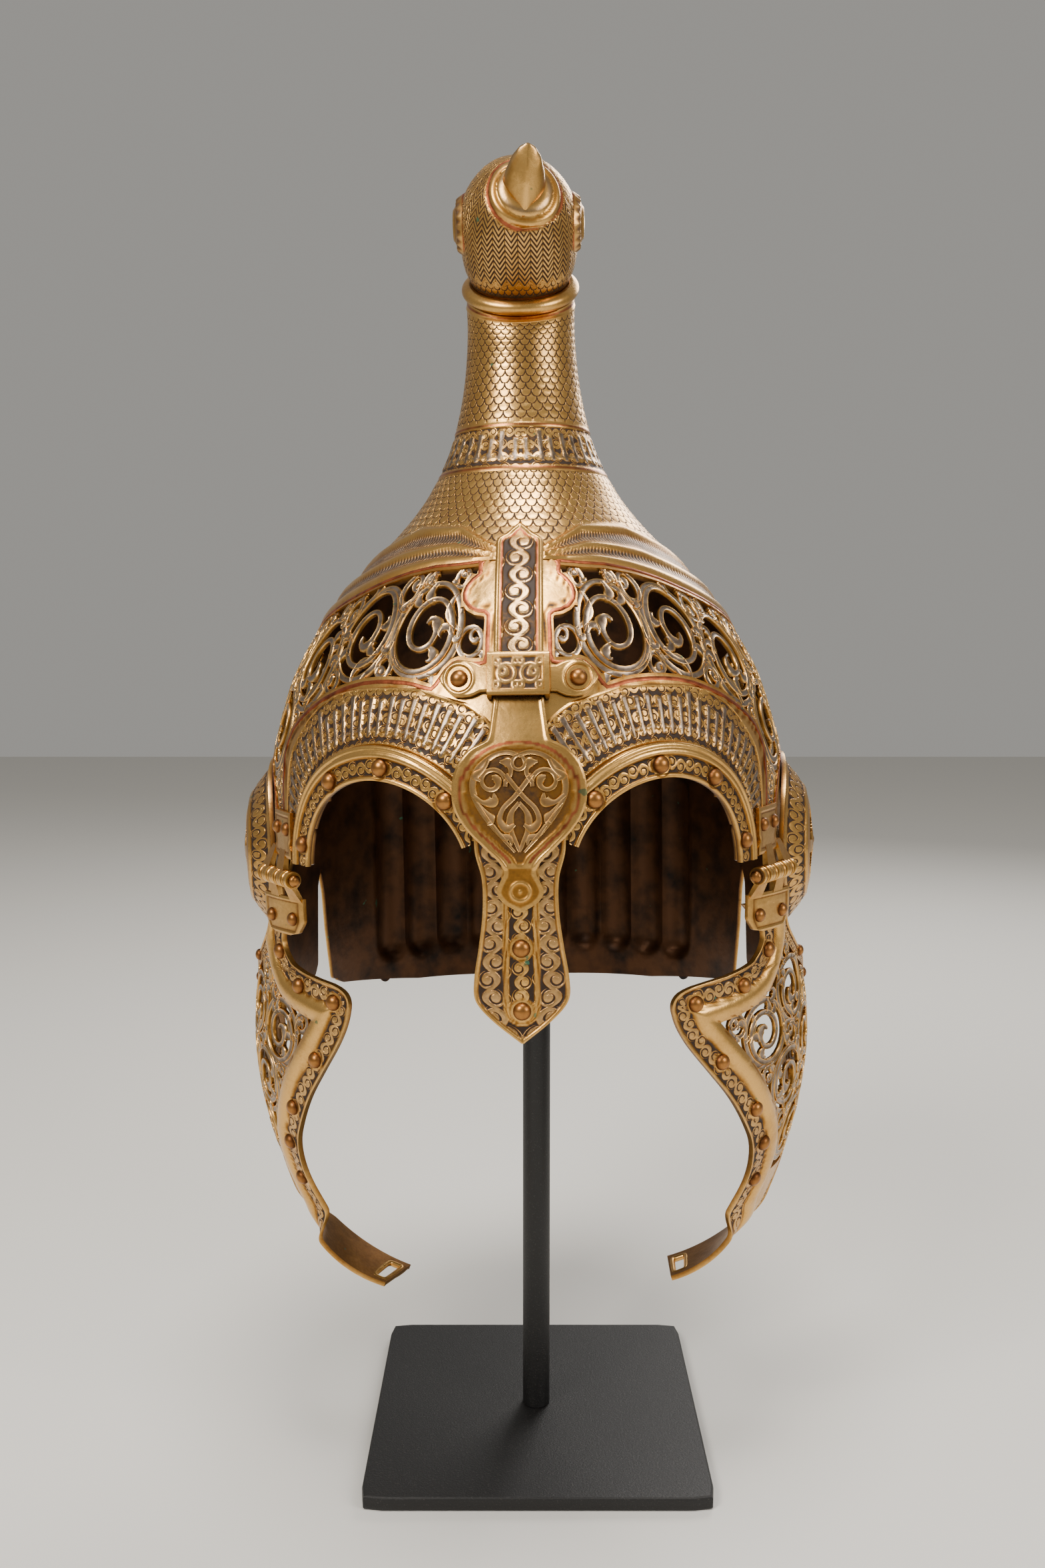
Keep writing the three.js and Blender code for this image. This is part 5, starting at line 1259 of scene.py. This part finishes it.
def add_ear_cups():
    """Domed roundel over each ear: flat flange, a cone with a running scroll, and a pierced crown."""
    angle, share = grid_of(np.linspace(0, 360, 192, endpoint=False), np.linspace(0.03, 1, 46))
    radius = share * 40.0
    step = angle[1, 0]
    keep = rib_gap(angle[:, 1:] + 0.5 * step, 0.5 * (radius[:, 1:] + radius[:, :-1])) < 0
    radius = np.where(np.abs(radius - 22) < 0.5, 22, radius)
    a = np.radians(angle)
    rise = between(CUP_ROWS[:, 0], CUP_ROWS[:, 1], share) * (15 - PLATE - PLATE_GAP)
    cone = smooth(radius, 26.5, 27.3) * smooth(36.2 - radius, 0, 0.7)
    # The scroll is folded at the back of the ring, at the top of a wave, so that it closes
    folded = 10.0 * (180 - np.abs(180 - angle)) / 180 + 0.25
    vine = running_scroll(folded, (radius - 31.5) / 9.2)
    dots = bump(((a * 38.3) % 3.0) - 1.5, 0, 1.2) * bump(radius, 38.3, 1.1)
    beads = ((25.2, 1.4), (36.9, 0.9), (8.0, 1.1), (39.7, 0.7))
    rings = np.clip(sum(bump(radius, *bead) for bead in beads), 0, 1)
    petals = 0.5 + 0.5 * np.cos(12 * a)
    height = 0.6 * rings - 0.2 * cone * (1 - 1.8 * vine) + 0.5 * dots
    height += 0.35 * petals * smooth(8 - radius, 0, 1)
    line = smooth(bump(radius, 23.6, 0.9), 0.3, 0.6)
    tone = np.clip(0.82 - 0.45 * bump(radius, 38.3, 1.3) * (1 - dots) + 0.15 * rings, 0.05, 1)
    u, v = radius * np.cos(a), radius * np.sin(a)
    marks = {"tone": tone, "copper": line, "scroll": scroll_marks(folded, radius - 31.5, 1.0, 9.2, cone)}
    outer = cup_place(u, v, 2.1 + rise + height)
    inner = cup_place(u, v, PLATE_GAP + rise)
    boss = Strands()
    centre = np.array([0.0])
    facing = bowl_normal(np.array([EAR_TURN]), np.array([EAR_LEVEL]))[0]
    boss.add_dome(cup_place(centre, centre, [14.8])[0], facing, 3.2, 2.2)
    for hand, name in SIDES:
        wall(f"ear_cup_relief_{name}", outer, inner, marks, keep, round_columns=True, hand=hand,
             stands_for=[f"ear_cup_{name}"], **BRASS)
        boss.piece(f"ear_cup_boss_{name}", hand=hand, **COPPER)


# Hinges
HINGE_TURN = np.radians(35)
HINGE_DEPTH, HINGE_LEVEL, LEAF_TURN = -58.0, 268.5, 60.85
HINGE_CENTRE = np.array([102.5, HINGE_DEPTH, HINGE_LEVEL])
HINGE_AXIS = np.array([np.sin(HINGE_TURN), np.cos(HINGE_TURN), 0])
HINGE_OUT = np.array([np.cos(HINGE_TURN), -np.sin(HINGE_TURN), 0])
UPWARD = np.array([0.0, 0, 1])
BARREL, PIN, HOLE = 3.75, 1.7, 2.0


def by_hinge(along, outward, upward):
    along, outward, upward = (np.asarray(v)[..., None] for v in (along, outward, upward))
    return HINGE_CENTRE + along * HINGE_AXIS + outward * HINGE_OUT + upward * UPWARD


def add_knuckle(strands, start, end):
    """A barrel round the pin with a bead at each end and a groove between."""
    length = end - start
    crest, neck = BARREL - 0.1, BARREL - 0.65
    profile = np.array([
        (HOLE, 0), (BARREL - 0.7, 0), (crest, 0.25), (BARREL, 0.9), (crest, 1.6), (neck, 1.95),
        (neck, length / 2 - 0.5), (crest, length / 2), (neck, length / 2 + 0.5),
        (neck, length - 1.95), (crest, length - 1.6), (BARREL, length - 0.9), (crest, length - 0.25),
        (BARREL - 0.7, length), (HOLE, length),
    ])
    a = np.linspace(0, TAU, 28, endpoint=False)[:, None]
    grid = by_hinge(start + profile[:, 1] + 0 * a, profile[:, 0] * np.cos(a), profile[:, 0] * np.sin(a))
    shade = np.where(profile[:, 0] > BARREL - 0.3, 0.95, 0.3)
    strands.add_loop(grid, marked(grid.shape[:2], tone=shade))


def add_tab(strands, foot, head):
    """A bent strip from four corners on a leaf to four corners at a barrel."""
    s = np.linspace(0, 1, 9)[:, None, None]
    rings = foot * (1 - s) + head * s
    strands.add_rings(rings, marked(rings.shape[:2], tone=0.7))


def add_hinges():
    pitch = 30.0 / 4
    spans = [(-15 + i * pitch + 0.15, -15 + (i + 1) * pitch - 0.15) for i in range(4)]
    upper, lower, pin, rivets, low_rivets = Strands(), Strands(), Strands(), Strands(), Strands()
    for i, (start, end) in enumerate(spans):
        own = upper if i % 2 else lower
        add_knuckle(own, start, end)
        along, face = np.array([start, start, end, end]), np.array([0, 1, 1, 0])
        off = PLATE_GAP + PLATE * face
        if i % 2:
            spot = by_hinge(along, 0.0, 0.0)
            turn = np.degrees(np.arctan2(spot[:, 0] / HALF_WIDTH, -spot[:, 1] / HALF_LENGTH))
            foot = on_bowl(turn, np.full(4, 280.5), off)
            head = by_hinge(along, -1.4 + 2.6 * face, HOLE + 0.7)
        else:
            foot = cheek_at(HINGE_DEPTH + along * 0.73, np.full(4, CHEEK_TOP - 6.0), off)
            head = by_hinge(along, -1.3 + 2.6 * face, -HOLE - 0.7)
        add_tab(own, foot, head)
    # Leaf riveted to the bowl, with a waisted lower end, and the shield-shaped leaf on the cheek-piece
    share, s = grid_of(np.linspace(-1, 1, 30), np.linspace(0, 1, 40))
    turn = LEAF_TURN + share * 5.15 * (1 - 0.12 * bump(s, 0.3, 0.15))
    z = 277 + s * 19
    edge = np.minimum((1 - np.abs(share)) * 10.4, np.minimum(s, 1 - s) * 19)
    height = 2.1 + 0.35 * bump(edge, 1.2, 0.8)
    tone = 0.85 - 0.55 * bump(edge, 2.4, 0.7)
    plate_up = (on_bowl(turn, z, height), on_bowl(turn, z, 0.5 + 0 * z), {"tone": tone})
    y = HINGE_DEPTH + share * 11 * (1 - 0.25 * smooth(s, 0.55, 1.0) - 0.35 * smooth(s, 0.9, 1.0))
    z = CHEEK_TOP - 4 - s * 16
    height = 2.1 + 0.35 * bump(edge, 1.2, 0.8)
    plate_low = (cheek_at(y, z, height), cheek_at(y, z, 0.5 + 0 * z), {"tone": tone})
    for step in (-3.0, 3.0):
        turn, z = np.array([LEAF_TURN + step]), np.array([289.0])
        rivets.add_dome(on_bowl(turn, z, [2.0])[0], bowl_normal(turn, z)[0], 2.9, 2.3)
        y, z = np.array([HINGE_DEPTH + 2 * step]), np.array([HINGE_LEVEL - BARREL - 13.0])
        low, middle, high = (cheek_at(y, z, np.array([off]))[0] for off in (0.0, 1.0, 2.0))
        low_rivets.add_dome(high, unit(middle - low), 2.9, 2.3)
    rows = np.array([
        (-17.7, 1.0), (-17.3, 1.9), (-16.6, 2.4), (-15.8, 2.3), (-15.5, PIN),
        (15.5, PIN), (15.8, 2.3), (16.6, 2.4), (17.3, 1.9), (17.7, 1.0),
    ])
    a = np.linspace(0, TAU, 20, endpoint=False)
    pin_rings = by_hinge(rows[:, :1] + 0 * a, rows[:, 1:] * np.cos(a), rows[:, 1:] * np.sin(a))
    pin.add_rings(pin_rings, marked(pin_rings.shape[:2], tone=0.85))
    for hand, name in SIDES:
        cheek = f"cheek_{name}"
        wall(f"hinge_plate_upper_{name}", *plate_up, hand=hand, inside=0.0, **BRASS)
        upper.piece(f"hinge_barrels_upper_{name}", hand=hand,
                    stands_for=[f"hinge_upper_leaf_{name}"], **BRASS)
        wall(f"hinge_plate_lower_{name}", *plate_low, hand=hand, inside=0.0, body=cheek, **BRASS)
        lower.piece(f"hinge_barrels_lower_{name}", hand=hand, body=cheek,
                    stands_for=[f"hinge_lower_leaf_{name}"], **BRASS)
        pin.piece(f"hinge_pin_relief_{name}", hand=hand, stands_for=[f"hinge_pin_{name}"], **COPPER)
        rivets.piece(f"hinge_rivets_upper_{name}", hand=hand,
                     stands_for=[f"hinge_rivet_upper_{i}_{name}" for i in (1, 2)], **COPPER)
        low_rivets.piece(f"hinge_rivets_lower_{name}", hand=hand, body=cheek,
                         stands_for=[f"hinge_rivet_lower_{i}_{name}" for i in (1, 2)], **COPPER)


# Cheek-pieces, worked out unrolled: a runs along the level section from its side point, z is the height
CHEEK_TOP, CHEEK_DROP, CHEEK_HALF, CHEEK_LONG, CHEEK_MID = HINGE_LEVEL - BARREL, 146.0, 126.4, 105.0, 5.0
CHEEK_END = CHEEK_TOP - CHEEK_DROP
CHEEK_REACH = {"right": 92.5, "left": 86.0}
CHEEK_REAR = 27.0
# Share of the drop, of the front reach and the rear reach, and of the half width
CHEEK_LEVELS = np.array([
    (0.055, 0.8, -1.95, 0.99), (0.15, 0.7, -1.75, 0.985), (0.222, 0.745, -1.3, 0.98),
    (0.247, 0.85, -1.05, 0.98), (0.26, 0.95, -0.9, 0.98), (0.285, 0.995, -0.65, 0.98),
    (0.34, 1, -0.2, 0.985), (0.42, 0.975, 0.5, 0.995), (0.51, 0.92, 0.92, 1), (0.6, 0.85, 1, 0.995),
    (0.69, 0.78, 0.8, 0.98), (0.79, 0.7, 0.2, 0.955), (0.9, 0.61, -0.5, 0.92), (1, 0.55, -0.8, 0.885),
])
STRAP = {"right": (52.0, 74.0, 32.0, 0.0), "left": (56.0, 70.0, 8.0, -28.0)}
STRAP_LEAN, STRAP_WIDE, STRAP_NARROW = 26.0, 27.0, 20.0
GAUSS, WEIGHT = np.polynomial.legendre.leggauss(6)


def cheek_oval(z):
    down = (CHEEK_TOP - z) / CHEEK_DROP
    half = CHEEK_HALF * between(CHEEK_LEVELS[:, 0], CHEEK_LEVELS[:, 3], np.clip(down, CHEEK_LEVELS[0, 0], 1))
    return half, CHEEK_LONG * (1 - 0.38 * smooth(down, 0.72, 1.2))


def run_along(angle, half, long):
    """Length of the oval's arc from its side point to an angle, by six-point Gauss sums."""
    return angle * sum(0.5 * w * np.hypot(half * np.sin(g * angle), long * np.cos(g * angle))
                       for g, w in zip((GAUSS + 1) / 2, WEIGHT))


def cheek_skin(a, z):
    half, long = cheek_oval(z)
    angle = a / long
    for _ in range(4):
        speed = np.hypot(half * np.sin(angle), long * np.cos(angle))
        angle = angle - (run_along(angle, half, long) - a) / speed
    return np.stack([half * np.cos(angle), CHEEK_MID + long * np.sin(angle), z + 0 * angle], -1)


def cheek_place(a, z, off):
    across = cheek_skin(a + 0.5, z) - cheek_skin(a - 0.5, z)
    upward = cheek_skin(a, z + 0.5) - cheek_skin(a, z - 0.5)
    return cheek_skin(a, z) + unit(np.cross(across, upward)) * np.asarray(off)[..., None]


def run_at(y, z):
    """Unrolled distance of a place given by its depth y."""
    half, long = cheek_oval(z)
    return run_along(np.arcsin(np.clip((y - CHEEK_MID) / long, -0.995, 0.995)), half, long)


def cheek_at(y, z, off):
    return cheek_place(run_at(y, z), z, off)


def sheet_edges(z, side):
    """Front and rear edge of the cheek-piece and, below its end, of the strap."""
    reach, length = CHEEK_REACH[side], STRAP[side][0]
    at = np.maximum(z, CHEEK_END)
    down = np.clip((CHEEK_TOP - at) / CHEEK_DROP, CHEEK_LEVELS[0, 0], 1)
    front = run_at(CHEEK_MID - between(CHEEK_LEVELS[:, 0], CHEEK_LEVELS[:, 1], down) * reach, at)
    rear = run_at(CHEEK_MID + between(CHEEK_LEVELS[:, 0], CHEEK_LEVELS[:, 2], down) * CHEEK_REAR, at)
    s = np.clip((CHEEK_END - z) / length, 0, 1)
    strap = STRAP_WIDE + (STRAP_NARROW - STRAP_WIDE) * s
    half = 0.5 * ((rear - front) * (1 - smooth(s, 0, 0.25)) + strap * smooth(s, 0, 0.25))
    middle = 0.5 * (front + rear)
    below = z < CHEEK_END
    return np.where(below, middle - half, front), np.where(below, middle + half, rear)


def sheet_place(side):
    """The whole cheek-piece as a function of unrolled place and offset. The strap's middle line leans by an
    angle that grows evenly down its length, so its course is the integral of (-sin, -cos) of that angle."""
    length, end_lean, start_turn, end_turn = STRAP[side]
    lean_0, lean_1 = np.radians(STRAP_LEAN), np.radians(end_lean)
    bottom = np.array([CHEEK_END])
    front, rear = (edge[0] for edge in sheet_edges(bottom, side))
    y_mid = CHEEK_MID + 0.5 * (-0.55 * CHEEK_REACH[side] - 0.8 * CHEEK_REAR)
    start = cheek_at(np.array([y_mid]), bottom, [0.0])[0]

    def place(a, z, off):
        a, z, off = np.broadcast_arrays(a, z, off)
        plate = cheek_place(a, np.maximum(z, CHEEK_END), off)
        if z.min() >= CHEEK_END:
            return plate
        s = np.clip((CHEEK_END - z) / length, 0, 1)
        low, high = sheet_edges(np.minimum(z, CHEEK_END), side)
        share = (a - low) / (high - low) - 0.5
        lean = lean_0 + (lean_1 - lean_0) * s
        bend = lean_1 - lean_0
        foot = start + length * np.stack(
            [(np.cos(lean) - np.cos(lean_0)) / bend, 0 * s, -(np.sin(lean) - np.sin(lean_0)) / bend], -1)
        along = np.stack([-np.sin(lean), 0 * s, -np.cos(lean)], -1)
        turn = np.radians(start_turn + (end_turn - start_turn) * s)
        rim = np.stack([np.sin(turn), np.cos(turn), 0 * s], -1)
        face = unit(np.cross(along, rim))
        width = STRAP_WIDE + (STRAP_NARROW - STRAP_WIDE) * s
        strap = foot + rim * (share * width)[..., None] + face * (off + 1.0)[..., None]
        at = front + (share + 0.5) * (rear - front)
        edge = cheek_place(at, CHEEK_END + 0 * z, off)
        slope = unit(edge - cheek_place(at, CHEEK_END + 1 + 0 * z, off))
        hung = edge + slope * (CHEEK_END - z)[..., None]
        k = smooth(s, 0, 0.34)[..., None]
        return np.where((z < CHEEK_END)[..., None], hung * (1 - k) + strap * k, plate)

    return place


def along_line(x, y, line):
    """Distance to an open line, and how far along it the nearest point lies."""
    nearest, run, total = np.full(x.shape, 1e9), np.zeros(x.shape), 0.0
    for (ax, ay), (bx, by) in zip(line[:-1], line[1:]):
        ex, ey = bx - ax, by - ay
        size = math.hypot(ex, ey)
        t = np.clip(((x - ax) * ex + (y - ay) * ey) / max(size * size, 1e-9), 0, 1)
        far = np.hypot(x - ax - t * ex, y - ay - t * ey)
        closer = far < nearest
        nearest = np.where(closer, far, nearest)
        run = np.where(closer, total + t * size, run)
        total += size
    return nearest, run


def add_cheek(hand, side):
    """Cheek-piece: riveted scroll border, a round moulding with a mitred corner, and openwork behind it."""
    length = STRAP[side][0]
    place = sheet_place(side)
    top_end = CHEEK_TOP - CHEEK_LEVELS[0, 0] * CHEEK_DROP
    z_line = np.linspace(top_end, CHEEK_END - length, 96)
    front_line, rear_line = (np.stack([edge, z_line], -1) for edge in sheet_edges(z_line, side))
    slot_z = CHEEK_END - length + 2.6 + 2.2
    slot_a = 0.5 * sum(edge[0] for edge in sheet_edges(np.array([slot_z]), side))

    def void(a, z):
        """Room within the openwork's frame: above 0 inside it."""
        front, rear = along_line(a, z, front_line)[0], along_line(a, z, rear_line)[0]
        low, high = sheet_edges(z, side)
        front, rear = np.where(a < low, -front, front), np.where(a > high, -rear, rear)
        return np.min([front - 17.6, rear - 5.4, 240 - z, z - CHEEK_END - 14], axis=0)

    def opening(a, z):
        slot = np.minimum(2.6 - np.abs(z - slot_z), 6.5 - np.abs(a - slot_a))
        return np.maximum(void(a, z), slot)

    z, share = grid_of(np.linspace(z_line[0], z_line[-1], 196), 0.5 - 0.5 * np.cos(np.linspace(0, np.pi, 84)))
    share = 0.5 * share + 0.5 * np.linspace(0, 1, 84)
    low, high = sheet_edges(z, side)
    a = low + (high - low) * share
    a, z, keep = trimmed(a, z, opening, 0.62)
    z = np.clip(z, z_line[-1], z_line[0])
    front, run = along_line(a, z, front_line)
    rear, rear_run = along_line(a, z, rear_line)
    # Rivets along the front: share of the reach and of the drop
    spots = [
        (0.665, 0.2), (0.79, 0.285), (0.95, 0.31), (0.885, 0.485), (0.74, 0.65), (0.65, 0.77), (0.56, 0.9),
    ]
    rivet_z = np.array([CHEEK_TOP - down * CHEEK_DROP for _, down in spots])
    rivet_a = run_at(np.array([CHEEK_MID - reach * CHEEK_REACH[side] for reach, _ in spots]), rivet_z)
    back_z = np.array([228.0, 212.0, 194.0, 160.0])
    rivet_a = np.concatenate([rivet_a, sheet_edges(back_z, side)[1] - 3.0])
    rivet_z = np.concatenate([rivet_z, back_z])
    clear = np.min([np.hypot(a - u, z - v) for u, v in zip(rivet_a, rivet_z)], axis=0)
    # The borders and the moulding fade out down the strap
    fade = smooth(z, CHEEK_END - 0.45 * length, CHEEK_END - 0.1 * length)
    border = smooth(front, 1.2, 1.7) * smooth(8.8 - front, 0.3, 0.8) * smooth(clear, 4.2, 4.8)
    border = border * fade * smooth(top_end - z, 1, 2)
    back = smooth(rear, 0.9, 1.3) * smooth(5.2 - rear, 0.4, 0.8)
    back = back * smooth(front, 18, 18.6) * smooth(clear, 3.4, 4.0)
    at_rear = back > 0
    wave, row = np.where(at_rear, 6.4, 10.2), np.where(at_rear, 3.7, 7.0)
    along, across = np.where(at_rear, rear_run, run), np.where(at_rear, rear - 3.0, front - 5.0)
    field = np.maximum(border, back)
    vine = running_scroll(along / wave, across / row)
    half_round = half_rounds(front, (13.1, 3.9)) * (0.25 + 0.75 * fade) * smooth(rear, 0.5, 4)
    height = (0.4 * bump(front, 0.4, 0.9) + 0.4 * bump(rear, 0.4, 0.9) - 0.28 * field * (1 - 1.3 * vine)
              + 1.7 * half_round + 0.4 * bump(front, 17.4, 0.7) * smooth(rear, 1, 3) * fade)
    tone = np.clip(0.84 + 0.12 * half_round - 0.5 * (bump(front, 8.9, 0.5) + bump(front, 16.9, 0.4)) * fade
                   - 0.5 * bump(clear, 4.5, 0.5) * (front < 9), 0.05, 1)
    marks = {"tone": tone, "silver": 0.2 * border, "scroll": scroll_marks(along, across, wave, row, field)}
    wall(f"cheek_relief_{side}", place(a, z, height), place(a, z, -2.0), marks, keep, inside=0.4,
         hand=hand, body=f"cheek_{side}", stands_for=[f"cheek_piece_{side}"], **BRASS)

    rivets = Strands()
    for u, v, size in zip(rivet_a[:, None], rivet_z[:, None], [3.4] * len(spots) + [2.6] * len(back_z)):
        rivets.add_dome(place(u, v, [-0.1])[0], normal_of(place, u, v)[0], size, 0.78 * size)
    rivets.piece(f"cheek_rivets_{side}", hand=hand, body=f"cheek_{side}", **COPPER)

    vines = Strands()
    ga, gz = (v.ravel() for v in grid_of(np.arange(-90.0, 50), np.arange(CHEEK_END + 15, 240.0)))
    add_vine_work(vines, cheek_place, void, ga, gz, 14.0, 1.42)
    vines.piece(f"cheek_vines_{side}", hand=hand, body=f"cheek_{side}", **BRASS)

    # Round wire about the slot at the strap's end
    corner = np.linspace(0, TAU, 60, endpoint=False)
    box_a = slot_a + 7.2 * np.sign(np.cos(corner)) * np.abs(np.cos(corner)) ** 0.35
    box_z = slot_z + 3.3 * np.sign(np.sin(corner)) * np.abs(np.sin(corner)) ** 0.35
    points = place(box_a, box_z, np.full(60, -0.9))
    facing = normal_of(place, box_a, box_z)
    across = unit(np.cross(unit(np.roll(points, -1, 0) - np.roll(points, 1, 0)), facing))
    turn = np.linspace(0, TAU, 10, endpoint=False)[None, :, None]
    tube = points[:, None] + 1.35 * (np.cos(turn) * across[:, None] + np.sin(turn) * facing[:, None])
    wire = Strands()
    wire.add_loop(tube, marked(tube.shape[:2]))
    wire.piece(f"strap_slot_wire_{side}", hand=hand, body=f"cheek_{side}", **BRASS)


# Stand
def lathe(rows, a, out=1.0):
    """Rings of a profile of heights and radii carried round the angles a, each radius times out."""
    radius = rows[:, 1:] * out
    return np.stack([radius * np.cos(a), radius * np.sin(a), rows[:, :1] + 0 * a], -1)


def add_stand():
    """Bevelled square foot, round rod and the disc that the bowl rests on."""
    upright = lambda points: points * 0.001
    foot, rod, pad = Strands(), Strands(), Strands()
    a = np.linspace(0, TAU, 96, endpoint=False)
    corner = (np.abs(np.cos(a)) ** 40 + np.abs(np.sin(a)) ** 40) ** (-1 / 40)
    rows = np.array([(0, 73.9), (0.5, 74.7), (1.2, 75), (4.8, 75), (5.6, 74.7), (6, 74.0)])
    rings = lathe(rows, a, corner)
    foot.add_rings(rings, marked(rings.shape[:2]))
    foot.piece("foot_body", place=upright, sharp=25, stands_for=["stand_foot"], **BLACK)
    top = PAD_LEVEL
    a = np.linspace(0, TAU, 48, endpoint=False)
    rows = np.array([(6.3, 6.3), (8, 6.3), (top - 14, 6.3), (top - 12.3, 6.3)])
    rings = lathe(rows, a)
    rod.add_rings(rings, marked(rings.shape[:2]))
    rod.piece("rod_body", place=upright, stands_for=["stand_rod"], **BLACK)
    seat = on_bowl(np.linspace(0, 360, 60, endpoint=False), np.full(60, top), np.full(60, -2.3))
    rows = ((0.5, top - 12), (0.52, top - 12), (0.94, top - 5.4), (0.97, top - 4.4), (1, seat[0, 2]))
    rings = np.stack([
        np.stack([seat[:, 0] * share, seat[:, 1] * share, np.full(len(seat), height)], -1)
        for share, height in rows])
    pad.add_rings(rings, marked(rings.shape[:2]))
    pad.piece("pad_body", stands_for=["stand_pad"], **BLACK)


add_bowl()
add_crown()
add_panel_work()
add_ornament_bands()
add_brow_rims()
add_neck()
add_head()
add_nasal_plate()
add_slide()
add_keeper()
add_ear_cups()
add_hinges()
for hand, side in SIDES:
    add_cheek(hand, side)
add_stand()

# Stage, light and camera
floor_mesh = bpy.data.meshes.new("floor")
floor_mesh.from_pydata([(-4, -4, 0), (4, -4, 0), (4, 4, 0), (-4, 4, 0)], [], [(0, 1, 2, 3)])
floor = bpy.data.objects.new("floor", floor_mesh)
bpy.context.scene.collection.objects.link(floor)
floor_paint, _, floor_shader = blank_material("pale_matt_floor")
floor_shader.inputs["Base Color"].default_value = linear("#d9d7d2")
floor_shader.inputs["Roughness"].default_value = 0.9
floor_mesh.materials.append(floor_paint)


def add_light(name, place, aim, size, power, colour):
    light = bpy.data.lights.new(name, "AREA")
    light.shape, light.size, light.energy, light.color = "DISK", size, power, colour
    lamp = bpy.data.objects.new(name, light)
    bpy.context.scene.collection.objects.link(lamp)
    lamp.location = place
    way = np.array(aim) - np.array(place)
    lamp.rotation_euler = (
        math.atan2(math.hypot(way[0], way[1]), -way[2]), 0, math.atan2(way[1], way[0]) - math.pi / 2)


add_light("soft_key", (-0.9, -1.1, 1.35), (0, 0, 0.35), 0.7, 26, (1.0, 0.95, 0.88))
add_light("soft_fill", (1.2, -0.9, 0.9), (0, 0, 0.3), 0.8, 12, (1.0, 0.96, 0.92))
add_light("soft_top", (0.0, -0.25, 1.6), (0, 0, 0.45), 0.5, 16, (1.0, 0.96, 0.9))
add_light("soft_rim", (0.6, 1.2, 1.2), (0, 0, 0.35), 0.8, 14, (1.0, 0.97, 0.94))
world = bpy.data.worlds.new("studio")
bpy.context.scene.world = world
world.use_nodes = True
world.node_tree.nodes["Background"].inputs["Color"].default_value = linear("#d3d0ca")
world.node_tree.nodes["Background"].inputs["Strength"].default_value = 0.5

camera = bpy.data.cameras.new("camera")
camera.sensor_fit = "VERTICAL"
camera.sensor_height = 36
camera.lens = 31.51
holder = bpy.data.objects.new("camera", camera)
bpy.context.scene.collection.objects.link(holder)
holder.location = (-0.0065, -0.6191, 0.3608)
holder.rotation_euler = (math.radians(90 - 5.605), 0, 0)
bpy.context.scene.camera = holder

for piece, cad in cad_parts.items():
    cad.data.materials.clear()
    cad.data.materials.append(stand_black if piece.startswith("stand") else brass)
